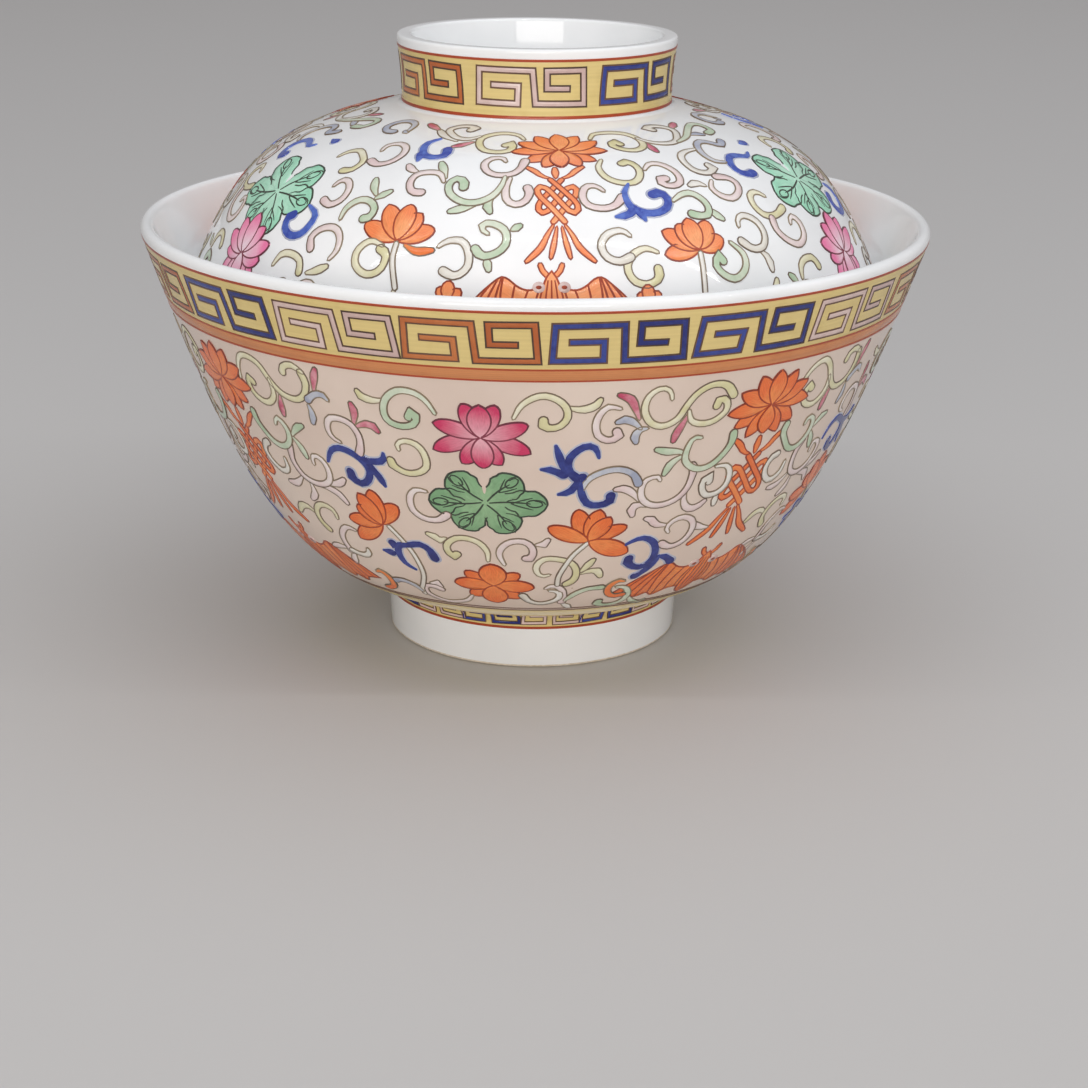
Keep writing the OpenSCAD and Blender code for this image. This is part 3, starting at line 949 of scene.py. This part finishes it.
bowl_scrolls = {
    "yellow": [
        (5, 17.7, 6.2, 15.6, 8.5, 14.2, 10.5, 14.2, 12.2, 15.6, 12.6, 17.4, 11.6, 18.8, 10, 19.3, 9, 18.7,
         9.2, 17.9),
        (27.6, 15.3, 27, 14, 25.5, 13.5, 23.9, 14.6, 23.6, 16.8, 24.8, 18.8, 27, 19.6, 29, 18.8, 30.2, 16.6,
         31.4, 14.7, 33.5, 13.7, 35.8, 14.1, 37.5, 15.8),
        (30.6, 17.5, 31.2, 19.2, 33, 20, 35.2, 19.7, 36.7, 18.3, 36.6, 16.6, 35.5, 16.3, 35, 17.2),
        (-.6, 43.5, -.6, 41.6, -1.8, 39.8, -4, 38.9, -6.3, 39.3, -7.8, 40.7, -7.8, 42.3, -6.8, 43, -6.2,
         42.4),
        (11, 46.4, 9.6, 46.6, 8.6, 45.3, 8.8, 43.6, 10.4, 42.7, 13, 42.9, 15.2, 43.8, 16.4, 45.5, 16, 47.4,
         14.8, 48.6),
        (-13, 24.2, -13, 23, -11.6, 22.4, -9.8, 23, -8.8, 24.8, -9, 26.6, -10.6, 27.8, -12.6, 27.8, -14.4,
         26.8, -14.8, 26),
        (-27, 13.8, -28.8, 13, -30.6, 13.3, -30.9, 14.3),
        (-42, 17.5, -41.4, 15.4, -40, 13.6, -37.8, 13.2, -35.8, 14.2, -34.5, 16, -33.3, 17.6, -31.8, 18.4,
         -29.6, 18.4, -27.8, 17.4, -27, 15.6, -27.3, 13.8),
        (-34.7, 16, -34.4, 18, -35.2, 19.6, -37, 20.4, -39.2, 19.8, -40.2, 18.2, -39.6, 16.8, -38.8, 17.4),
        (-30.4, 39.2, -30.4, 38, -32, 37.2, -34, 37.6, -35.6, 39, -35.8, 40.8, -34.6, 42.2)],
    "pink": [
        (20, 16.4, 18.3, 16, 17, 17.3, 16.6, 19, 17.4, 20.6, 19, 21.4, 20.3, 20.7, 20, 19.9),
        (28.3, 28.8, 27.6, 28, 26, 28.4, 25.3, 30, 25.7, 31.8, 27.3, 33, 29.8, 33.4, 32, 32.6, 33.4, 31,
         33.9, 29, 33.7, 27.5, 33.4, 26.8),
        (32.6, 39, 32, 38, 32.8, 36.7, 34.6, 36.2, 36.6, 37, 37.6, 38.6, 37.2, 40.6, 35.6, 41.9, 33.6, 42,
         32, 41),
        (2.4, 44, 1.8, 42, 2.4, 40.2, 4.2, 39.1, 6.4, 39.2, 7.8, 40.4, 7.8, 42, 7, 43, 6.6, 42.6),
        (10.5, 49.8, 12, 49, 13.8, 50, 14.8, 52, 14.4, 54),
        (-9.8, 30.8, -11.5, 30.7, -12.9, 32.3, -12.7, 34.4, -10.9, 35.8, -8.4, 35.9, -6.9, 34.8),
        (-23.4, 24.4, -24.6, 23.6, -25, 22.1, -24, 20.6, -22.2, 20.3, -20.4, 21, -19.6, 22.6, -19.6, 24.4,
         -20.2, 25.8),
        (-30.6, 29.4, -30.4, 28, -28.8, 28, -27.8, 29.4, -28.2, 31.4, -30, 32.8, -32.4, 33, -34.6, 32,
         -35.8, 30, -35.6, 28.2, -35, 26.8),
        (-27, 40.8, -29, 40.6, -30.8, 41.8, -31.8, 43.8, -31.6, 46),
        (-5.5, 52.6, -7, 54.4, -9.6, 55.4, -12.6, 55.6, -15.4, 54.8, -16.8, 53.2, -16, 51.4, -13.8, 51.2,
         -12.4, 51.6)],
    "white": [
        (38, 27.4, 40, 27.8, 41.4, 29.3, 41.4, 31.3, 40, 32.6, 37.8, 32.5, 36.4, 31.3, 36.4, 29.9, 37.4,
         29.4, 37.6, 30.2),
        (11.5, 50.4, 13.4, 51, 13.6, 52.8, 11.6, 54, 9, 54.4, 7, 53.4, 5.8, 52),
        (-38, 29.8, -38.3, 31.6, -40.2, 32.6, -42.3, 31.6, -43.2, 30, -42.6, 28.4, -41.4, 27.8),
        (-25.9, 44.4, -26.6, 45.8, -28.6, 46.2, -30.8, 46)],
    "green": [
        (33.8, 22.2, 32.6, 22, 31.8, 23.5, 31.8, 25.5, 33, 27, 35, 27.6, 37.2, 27, 38.8, 25.4, 39.6, 23.8,
         39.4, 22.4),
        (-6.4, 17.3, -7.5, 15.6, -9.2, 14.5, -11.5, 14.4, -13.3, 15.6, -14.3, 17.6, -13.8, 19.4, -12, 20.1,
         -10, 19.7, -9.2, 18.4, -9.8, 17.7, -10.4, 18.4),
        (15, 53.4, 17, 51.4, 19.5, 50.2, 22.3, 50),
        (25.8, 50.2, 28, 50.8, 29.6, 52.8, 29.4, 54.8, 27.6, 56, 25, 56.2, 23.2, 55.4, 23.3, 54.5),
        (-36.6, 23.8, -35.9, 22.7, -34.6, 23.4, -34.2, 25, -35, 26.6, -36.8, 27.6, -39, 27.2, -40.8, 25.8,
         -42, 24, -41.9, 22.8)],
    "grey": [
        (15.5, 30, 16.5, 27.8, 19, 26.4, 21.5, 26.4, 23.5, 27.5, 24.6, 29),
        (-23.6, 17.5, -24.4, 16.6, -25.8, 17, -27.3, 18), (-17.6, 53.4, -19, 51.8, -21.6, 50.8, -23.6, 51.4)],
    "red": [
        (27, 48.9, 25.5, 48.7, 24, 49.8, 24.3, 51.8, 26.2, 53, 28.2, 52.6),
        (-27.6, 50, -26.2, 49.6, -24.8, 51, -25.6, 53.4, -28.4, 54.8)],
}
bowl_stems = {
    "white": [
        (17.5, 39.5, 15.3, 42, 13.8, 44.5, 13, 47, 13, 49),
        (-18.6, 38.4, -17, 40.5, -15.6, 43, -14.9, 45.5, -15, 48, -16.2, 50.6, -17.4, 52.4, -17.6, 54)],
}
bowl_buds = {
    "yellow": [
        (12.3, 15.9, 14.5, 16.3, 16.3, 15.9, 17, 14.8), (-14, 16.2, -15.6, 16.4, -17.4, 16, -18, 15.2),
        (17.2, 46, 18.2, 44.6, 19.2, 43.4), (17.3, 46.2, 18.5, 45.9, 20.3, 45.8, 21.3, 47.2),
        (-8, 39.3, -8.8, 39.8, -10, 39.2, -11, 38.8), (-35.8, 39.8, -37.6, 38.8, -39.8, 38.8, -41.4, 40.2)],
    "pink": [
        (25.3, 32, 24, 30.6, 22.6, 29.8, 21, 29.8), (27, 33.2, 25.3, 32.8, 24.3, 33.6, 24.7, 34.8),
        (33.6, 31, 33.6, 33, 34.8, 34.6, 36.6, 34.6, 38, 33.8), (32, 37.2, 29.5, 37, 28.5, 36, 27.5, 35.8),
        (41, 39.2, 39, 38.8, 37.6, 38), (8.5, 39.8, 9.7, 39.8, 10.5, 38.8),
        (-29.5, 32.8, -26.4, 32, -25, 31), (-31.8, 33.2, -29.5, 33.4, -27.4, 34, -26.4, 35.4),
        (-33.4, 33.4, -33.6, 35.2, -35, 36.4), (-35.2, 32.6, -37.4, 34.1, -39.6, 34.3),
        (-32.2, 45.6, -34.6, 45.6, -36.6, 46.2), (-30.9, 46.4, -32, 47.8, -33, 49.2),
        (-14.2, 50.2, -12.6, 50, -12.2, 51)],
    "white": [
        (40.3, 32.9, 40.1, 33.8, 40.3, 34.8), (14.8, 54.6, 15.8, 55.4, 16.6, 56.4)],
    "green": [
        (31.6, 24.8, 30.5, 24.2, 28.5, 24, 26.6, 23.5), (31.6, 24.9, 30.8, 25.2, 29.6, 26.2, 28.8, 27.6),
        (-33.6, 25, -31.8, 23.6, -30.4, 23), (-33.6, 25.4, -32.4, 26.8, -31.8, 28.4),
        (30.5, 54, 32.5, 56, 35, 57.2, 36, 56.4)],
    "grey": [
        (23.5, 19.7, 22.8, 19, 21.2, 18.2, 19.7, 18.5), (24.5, 19.7, 23.3, 20, 22.8, 21, 23, 22),
        (-27.6, 18.9, -27.2, 20.4, -27.8, 21.8)],
    "rose": [
        (23, 18.2, 22.5, 16.8, 21.5, 15, 19.8, 14.2), (30.6, 18.2, 30, 19.4, 29.2, 21, 29, 22.3),
        (-19.8, 20.6, -19.4, 18.8, -19.5, 17.4), (-19.6, 21.4, -18, 20.4, -16.6, 20.4, -15.8, 21.4),
        (-25.6, 16.4, -25, 14.4, -24.4, 12.9), (-33.2, 18.6, -33.6, 20.2, -33.8, 21.8)],
}
bowl_blues = [
    (17.6, 24.2, 17.2, 22.9, 15.8, 22.2, 14.2, 23, 13.2, 24.5, 13.3, 26.2, 14.8, 27.6),
    (11, 22, 11.6, 24, 12.5, 25.8, 14.5, 27.5), (9, 26, 10.5, 26, 12.5, 26.7),
    (12, 30.2, 13.5, 29.8, 14.8, 28.5, 15.5, 27.5),
    (15.2, 28, 15.5, 30, 16.3, 31.8, 18, 32.5, 20, 32, 20.3, 31),
    (32.6, 43.8, 32.2, 45, 31, 46.6, 29, 47.8), (32.5, 43.8, 34, 44.3, 35.8, 45.3),
    (25, 40.5, 26.5, 39.6, 28.5, 39.6, 30.5, 40.8, 31.4, 42.8, 31, 44.6, 29.6, 45.8, 27.6, 45.6, 26.2, 44.4,
     26.2, 43.6),
    (-27, 28, -26, 26.3, -24, 25.4, -21.8, 25.8, -20, 26.8, -19.2, 28.4, -19.8, 30, -21.2, 31, -22.8, 30.4,
     -23, 29.4),
    (-15.8, 25.3, -16.2, 26.3, -18, 26.8, -19.6, 26.6), (-16.8, 30.8, -17.6, 29.2, -18.8, 27.8),
    (-16.4, 47.2, -18.2, 46, -18.6, 43.8, -17.8, 42.2, -15.4, 41.6, -13.6, 41.2, -11.8, 42.2, -11.1, 44),
    (-22, 44, -20.4, 44), (-19.2, 42.6, -19.2, 41.8)]


def tendrils(guide, turns, scrolls, stems, buds, blues, curl_blue, body):
    """Paints the tendrils of every sector: buds and leaflets first, then the scrolls over them,
    then the blue curls with their halo. Each copy's places are moved a little, as by hand."""
    def copies(table):
        for spots in table:
            for turn in turns:
                path = turn(spots)
                yield path + brush.normal(0, hand_shake, path.shape)

    lines = []
    for layer, (tint, material) in enumerate(scroll_paints.items()):
        over = wash_lift + 0.02 + 0.016 * layer
        strokes = []
        for table, half, wide, lift in ((buds, bud_half, drop, wash_lift),
                                        (scrolls, scroll_half, taper, over),
                                        (stems, stem_half, np.ones_like, over)):
            for path in copies(table.get(tint, [])):
                stroke(guide, path, half, lift, strokes, lines, wide)
        if strokes:
            slot = scroll_slots.get(tint, "pale_enamel")
            enamel_piece(body + "_scrolls_" + tint, strokes, material, body, slot)
    enamel_piece(body + "_scroll_lines", lines, scroll_line, body, "brown_line_enamel")
    curls, rims = [], []
    for path in copies(blues):
        stroke(guide, path, blue_half + halo_reach, halo_lift, rims, None, taper)
        stroke(guide, path, blue_half, wash_lift + curl_rise, curls, None, taper)
    enamel_piece(body + "_blue_halos", rims, halo, body, "pale_enamel")
    enamel_piece(body + "_blue_curls", curls, curl_blue, body, "blue_enamel")


tendrils(bowl_guide, bowl_sectors, bowl_scrolls, bowl_stems, bowl_buds, bowl_blues, blue, "bowl")

# ---------------------------------------------------------------------------------------------
# The border where the bowl's wall turns down into its foot ring: under two fine olive lines a
# yellow ground, with small blue and pink keys round the neck of the foot, closed by a red line.
# Below it the foot is plain glaze.
# ---------------------------------------------------------------------------------------------
heel_run = bowl_guide.run[len(bowl_outside) - 1]
foot_run = bowl_guide.run[-2]
foot_keys = 16
foot_units = [((k + 0.35) * 360 / foot_keys, "blue" if k % 2 else "pink") for k in range(foot_keys)]
foot_lines = fret_border("foot", "bowl", bowl_guide, foot_units, run=foot_run - 2.05,
                         ground=(heel_run - 9.4, foot_run + 0.1, 0.06, 29), size=0.5, half=0.24,
                         thin=0.08, shake=0.04, sway=0.5, rise=0.06, line_rise=0.055)
enamel_piece("foot_border_lines", foot_lines + [
    hoop(bowl_guide, heel_run + run, heel_run + run + 0.32, line_lift, 0.08, across=2)
    for run in (-10.3, -9.5, -1.6)], brown_line, "bowl", "brown_line_enamel")
enamel_piece("foot_red_line", [
    hoop(bowl_guide, foot_run - 0.15, foot_run + 0.3, line_lift, 0.05, across=2)],
    iron_line, "bowl", "iron_red_enamel")

# ---------------------------------------------------------------------------------------------
# The border round the lid's ring: the same line, yellow ground and fret as under the bowl's lip,
# seven units round, and a red line where the ring meets the dome.
# ---------------------------------------------------------------------------------------------
ring_lip_run = 0.6
ring_guide = Guide(ring_outside[::-1], ring_lip_run)
ring_order = "pink blue red pink blue pink red".split()
ring_pitch = 360 / len(ring_order)
ring_units = [(-2.5 + ring_pitch * k, colour) for k, colour in enumerate(ring_order)]
ring_lines = fret_border("ring", "lid", ring_guide, ring_units, run=5.35, ground=(1.6, 9.5, 0.04, 9),
                         size=0.86, half=fret_half * 0.92)
enamel_piece("ring_fret_lines", ring_lines, brown_line, "lid", "brown_line_enamel")
enamel_piece("ring_border_lines", [hoop(ring_guide, 1.45, 1.85, line_lift, 0.05, across=2),
                                   hoop(ring_guide, 9.25, 9.75, line_lift, 0.05, across=2)],
             iron_line, "lid", "iron_red_enamel")

# ---------------------------------------------------------------------------------------------
# The lid's flowers in three sectors: an orange lotus, a knot and a bat below one another, then a
# green leaf over a rose lotus, with half lotuses on stems between them.
# ---------------------------------------------------------------------------------------------
# The lid's colours are the bowl's made a step paler and brighter, painted light for the lid's top,
# which faces the overhead light: a minty green, an orange red and a candy rose.
lid_green = enamel("bright_copper_green_enamel", "c2f2d8", "a2e2c2", patch=2.0, roughness=0.08, streaks=0.2)
lid_red = enamel("bright_iron_red_enamel", "ffac72", "fa8c54", patch=3.0, roughness=0.2, streaks=0.3)
lid_rose = enamel("bright_rose_enamel", "ffe4ee", "fa82b2", patch=3.0, depth=0.12, roughness=0.12,
                  streaks=0.2)
lid_guide = Guide(lid_outside[::-1], 0.0)
lid_orange = np.array([4.0, 124.0, 244.0])
lid_leaves = np.array([-58.5, 65.5, 184.0, 301.5])
lid_sectors = [sector(lid_leaves[k], lid_orange[k], lid_leaves[k + 1], 62, 61) for k in range(3)]
lid_lobes = [(-8.8, -1.6), (8.8, -.6), (-5.2, 5.6), (5.9, 5.1), (-3.7, -5.6), (3.8, -6.2)]
lid_leaf_runs = [22.5, 23.0, 24.6]
lid_leaf_offset, lid_rose_run = 61, 34.4
lid_lotus_run, lid_knot_run, lid_bat_run = 10.0, 22.6, 36.4
lid_left_spot, lid_right_spot, lid_bud_spots = (-28, 28.4), (24.5, 29.6), ((-17.5, 36.0), (14, 36.5))
lid_lotus = [(-4.6, -3.4, 1.2), (4.6, -3.4, 1.2), (-2.6, -4.6, 1.2), (2.6, -4.6, 1.2), (-4.9, -.4, 1.2),
             (4.9, -.4, 1.2), (-5.8, 2.2, 1.25), (5.7, 2.2, 1.25), (-3.2, 4.8, 1.3), (3.2, 4.4, 1.3),
             (0, -4.8, 1.4), (0, 6, 1.5)]
lid_half_left = [(-5.5, 2, 1.32), (4.8, 2, 1.32), (-2.9, 5.2, 1.43), (2.4, 4.3, 1.43), (.4, 5.6, 1.43)]
lid_half_right = [(-5.2, -.4, 1.21), (-4.6, 3, 1.32), (4.2, 1.2, 1.32), (2.6, 4, 1.43), (-2.2, 3.9, 1.32),
                  (-.3, 4.6, 1.43)]
lid_bud = [(-1.6, 1.6, .8), (1.6, 1.6, .8), (0, 2.6, .9)]
reds, red_lines, rings, dots, petals, petal_lines, blades, veins = ([] for _ in range(8))
for axis, turn, run in zip(lid_orange, lid_sectors, lid_leaf_runs):
    flower(lid_guide, (axis + 2, lid_lotus_run), big_lotus, reds, red_lines, size=0.95, blunt=0.7)
    knot(lid_guide, (axis + 0.2, lid_knot_run), 0.86, 0.72, reds, red_lines)
    bat(lid_guide, (axis - 1.4, lid_bat_run), 0.95, reds, red_lines, dots, rings)
    flower(lid_guide, turn(lid_left_spot)[0], lid_half_left, reds, red_lines)
    flower(lid_guide, turn(lid_right_spot)[0], lid_half_right, reds, red_lines)
    for bud_spot in lid_bud_spots:
        flower(lid_guide, turn(bud_spot)[0], lid_bud, reds, red_lines)
    leaf(lid_guide, turn((lid_leaf_offset, run))[0], lid_lobes, blades, veins, half=2.5)
    flower(lid_guide, turn((lid_leaf_offset, lid_rose_run))[0], lid_lotus, petals, petal_lines)
edge_run, edge_width = 44.2, 0.35
red_lines.append(hoop(lid_guide, edge_run, edge_run + edge_width, line_lift, 0.05, across=2))
figure_pieces("lid", reds, red_lines, rings, dots, lid_red)
flower_pieces("lid", blades, veins, petals, petal_lines, lid_green, lid_rose)

# ---------------------------------------------------------------------------------------------
# The lid's tendrils, painted like the bowl's. A stroke's places are offsets in degrees from the
# orange lotus and runs down from the foot of the ring in mm.
# ---------------------------------------------------------------------------------------------
lid_scrolls = {
    "yellow": [
        (12, 6.6, 14, 5.3, 17, 4.8, 21, 4.8, 25, 5.6, 27, 7.4, 26, 9.6, 22.6, 10.7, 19, 10.1, 17.2, 8.8,
         18.6, 7.9, 19.8, 8.5),
        (11.6, 12.8, 10.2, 14.6, 11, 16.8, 13.6, 18, 16.8, 18, 19, 16.6, 19.2, 14.8, 17.8, 13.7, 16.2,
         13.9),
        (45, 23.2, 43.4, 22.3, 41.4, 22.8, 40.6, 24.4, 42, 26.1, 45, 26.5, 48, 25.6),
        (16.6, 29.5, 14.6, 28.8, 12, 29.6, 11, 31.4, 11.8, 33.2, 14, 33.8, 16, 33, 16.3, 31.9),
        (-7.6, 6.6, -9.4, 5.2, -13, 4.7, -17, 4.9, -20, 6.4, -20, 8.4, -17.4, 10.2, -13.4, 10.6, -10.6, 9.6,
         -10.8, 8, -12.2, 8.4),
        (-30.2, 29.3, -32.8, 28.8, -34.8, 30.4, -34.4, 32.4, -32, 33.6, -29.6, 32.8, -29, 30.8, -30.6,
         29.8),
        (-54.4, 16, -53.4, 14.6, -50.8, 14, -48, 14.6, -45.8, 16.2, -46.4, 18, -48.6, 18.6),
        (-52, 34.8, -50.8, 33, -48.2, 32.5, -46, 33.2, -45.2, 34.8),
        (44.6, 36, 45.2, 34.4, 47, 33.5, 49.2, 33.6, 50.2, 34.8),
        (23.4, 36, 25.2, 38.6, 28.6, 40.5, 32.8, 40.7, 35.4, 39.2, 35.2, 37.2, 33.2, 36.6, 31.8, 37.6),
        (-26.4, 35.4, -27.8, 38.4, -31, 40.4, -35, 40.6, -37.4, 39.2, -37, 37.3, -35, 36.6, -33.6, 37.6)],
    "pink": [
        (20.4, 15.7, 22.8, 14.5, 25.6, 14.9, 27.6, 16.6, 27.2, 18.6, 25, 19.5, 22.8, 19, 22.6, 18, 24,
         17.8),
        (9.6, 19.6, 8.2, 18.5, 6, 18.8, 4.9, 20.4, 6, 22, 8.6, 22.6, 11.2, 22.2, 12.8, 20.8),
        (34.4, 19.4, 33.2, 20.6, 34, 22, 36.8, 22.7, 39.4, 21.8, 40.2, 20.2, 38.8, 18.9, 36.4, 18.7),
        (47.6, 28.2, 48.8, 27.3, 50.4, 28.2, 50, 30.2, 47.4, 31.2, 44.6, 30.4, 43, 28.6, 43.4, 26.9),
        (-11, 13.2, -12, 12.4, -14.6, 12.6, -16, 14, -14.8, 15.6, -12, 16.3, -9, 15.9, -7.2, 14.4, -6.6,
         12.8),
        (-23, 18.4, -24.8, 16.9, -27.4, 16.6, -29.8, 17.4, -30.2, 19, -28.8, 20.4, -26.8, 20.7),
        (-9.4, 17, -10, 19, -9.4, 21, -7.8, 22, -6, 21.4, -5.2, 20, -5.6, 18.9),
        (-47.2, 21.6, -46.4, 20.4, -44.6, 20.2, -43, 21.6, -43, 23.4, -45, 24.6, -47.4, 24.2),
        (-44.4, 13, -44.8, 11.4, -42, 10.6, -39, 11.4, -37.6, 13.4, -38.6, 15.4, -41.4, 16.2, -44, 15.8),
        (-40, 32.2, -38.8, 30.8, -39.2, 29, -41.2, 27.8, -43.8, 28.2, -45.4, 29.8, -44.6, 31.4),
        (55.4, 42.6, 57.8, 41.4, 61, 41, 64, 41.5, 66.4, 42.5),
        (-40.4, 36.6, -42.6, 35.8, -44.6, 36.8, -44.8, 38.6, -43, 39.4, -41.4, 38.8)],
    "white": [
        (26.5, 7.2, 29.5, 8.8, 33.5, 9.5, 37.5, 9.3, 41, 8, 43.4, 6.4, 42.4, 4.8, 38.6, 4, 35, 4.3, 36.4,
         5.2),
        (39.6, 12.2, 36.4, 12.2, 33.4, 13, 31.8, 14.8, 32.6, 16.8, 35.4, 17.6, 37.8, 17, 37.4, 16.2),
        (34.2, 27.2, 35, 25.9, 37, 25.6, 39, 26.8, 39.4, 28.8, 38, 30.4, 35.4, 30.6, 33.6, 29.4),
        (12.4, 27, 11, 26.1, 8.6, 26.4, 7.2, 28, 7.8, 29.8, 10, 30.4, 12, 29.8),
        (-21, 6.2, -23.6, 7.1, -27.4, 7.1, -31, 6, -33.2, 4.6, -31, 3.4, -27.6, 3, -25, 3.4, -25.8, 4.2),
        (-20.4, 28.6, -18.6, 27.8, -16.2, 28, -14.8, 29.6, -15, 31.4, -16.8, 32.5, -18.8, 32),
        (-40.6, 42.4, -43, 41, -46.4, 40.4, -49.4, 39.2, -50, 37.4, -48.2, 36.6, -46.8, 37.6)],
    "green": [
        (38, 9.6, 43, 8.6, 48, 7.2, 52, 6.2, 56, 5.6, 58.6, 6.6, 57.6, 8.4, 54, 8.9),
        (23, 22, 25.4, 21, 27.8, 21.2, 29.6, 22.8, 29, 24.6, 27, 24.9, 25.6, 24.5),
        (31, 29.2, 32.9, 31, 32.4, 33.2, 30.2, 34.3, 27.8, 33.6, 26.8, 32, 27.6, 30.8, 28.4, 31.4),
        (-10.6, 16.6, -10.8, 18.6, -12.4, 20.6, -15.2, 21.8, -18.2, 21.7, -20.8, 20.6, -21.8, 18.8, -20.4,
         17.6, -18.8, 18, -18.4, 19.2),
        (-12.2, 26.6, -13.4, 26, -12.8, 25.1, -10.8, 25, -9, 26.2, -9, 28, -10.4, 29.4, -12.6, 29.6, -14,
         28.8),
        (-41, 26.4, -40.8, 24.8, -39, 23.2, -36.6, 23, -34.8, 24, -34.8, 25.4, -36, 26),
        (37.6, 42.4, 40.4, 41.4, 43.8, 40.9, 46.8, 39.6, 47.4, 37.8, 45.4, 36.9, 43.8, 37.9)],
    "grey": [
        (43, 16.2, 40.4, 15.4, 39.8, 13.4, 42, 11.4, 45, 10.6, 47.6, 11.2, 49.4, 12.4, 52.4, 11.4),
        (-46, 6.8, -47.6, 4.6, -51.6, 3.8, -55.6, 4.6, -56.4, 6.6, -53.4, 7.9, -50.6, 7.6)],
}
lid_stems = {
    "white": [
        (24.4, 30.2, 24.2, 32.6, 23.5, 35.6), (-28, 28.8, -27.8, 31.2, -26.4, 34.8)],
}
lid_buds = {
    "yellow": [
        (-43.6, 34.6, -42, 34.2, -40, 33.4), (35.4, 38.6, 37.2, 37.2, 38.4, 35.4),
        (-37.4, 40, -38.8, 40.9, -40.2, 42.4)],
    "pink": [
        (-30.2, 16.9, -31.8, 16.5, -33.4, 15.6)],
    "white": [
        (32, 20, 30.4, 19.3, 28.6, 19.6), (37, 30.8, 38, 32.2, 38.2, 33.8), (-27, 7.9, -32, 6.8, -36, 5.2)],
    "green": [
        (26, 39.2, 24, 40.2, 21.6, 40.4), (-28.6, 39.2, -26.4, 40.4, -23.8, 40.6),
        (47.4, 38.6, 49.4, 39.4, 51.6, 39.2), (29.4, 23.6, 30.6, 24.8, 31.6, 25.6),
        (-15, 21.9, -17.6, 22.9, -19.8, 23.6), (-12.4, 20.8, -13, 22, -12.2, 23.4),
        (-23.2, 17.6, -24.6, 15.6, -26, 14.2), (-36, 22, -37.2, 20.6, -38.4, 19.2),
        (-35.6, 22.4, -34.6, 21.8, -33.2, 21), (-12, 30, -11.4, 31.6), (43, 36, 41.8, 35),
        (-8.2, 26, -6.6, 25.3)],
    "grey": [
        (46.5, 8.2, 49, 8.3, 51, 8.8), (-45.8, 7.4, -46.4, 7.2, -47, 6.8)],
    "red": [
        (-26.4, 28.9, -24, 29.8, -21.2, 29.4)],
    "rose": [
        (27.6, 8.8, 27.8, 10.2, 28, 11.6), (44, 5.6, 47, 4.8, 49.6, 4.2), (-36.6, 5, -40, 4.2, -43, 3.6),
        (-22.2, 8, -24.4, 9, -26.4, 9.8)],
}
lid_blues = [
    (54.4, 15.4, 52.4, 15.9, 49.6, 15.3, 46.6, 15.3, 44.2, 16.7, 44, 18.4, 45.8, 19.4, 47.6, 19.2),
    (57.6, 13.1, 59.4, 13.1),
    (15, 18.6, 13.4, 20.2, 13.8, 22.2, 16, 23.6, 18.8, 23.8, 21.2, 22.8, 21.8, 21.4, 20.6, 20.4, 19.2,
     20.6),
    (10.8, 24, 12.8, 23.8, 14.2, 23), (15.8, 24.8, 15.6, 23.8),
    (-32.4, 8, -34.4, 9.4, -34, 11.2, -31.8, 12.6, -29, 13, -26.8, 12.2, -27, 10.8),
    (-32.2, 14.2, -32.8, 12.8),
    (-49.6, 25.4, -47.4, 26.2, -46.8, 27.6, -48.2, 29.4, -50.6, 30, -53, 29.2, -53.6, 27.8, -52.6, 27)]
# The cobalt is painted a step brighter too, as light on the lid's top: a clear bright blue.
bright_blue = enamel("bright_cobalt_enamel", "5b7ad0", "3046a8", patch=1.2, roughness=0.1)
tendrils(lid_guide, lid_sectors, lid_scrolls, lid_stems, lid_buds, lid_blues, bright_blue, "lid")
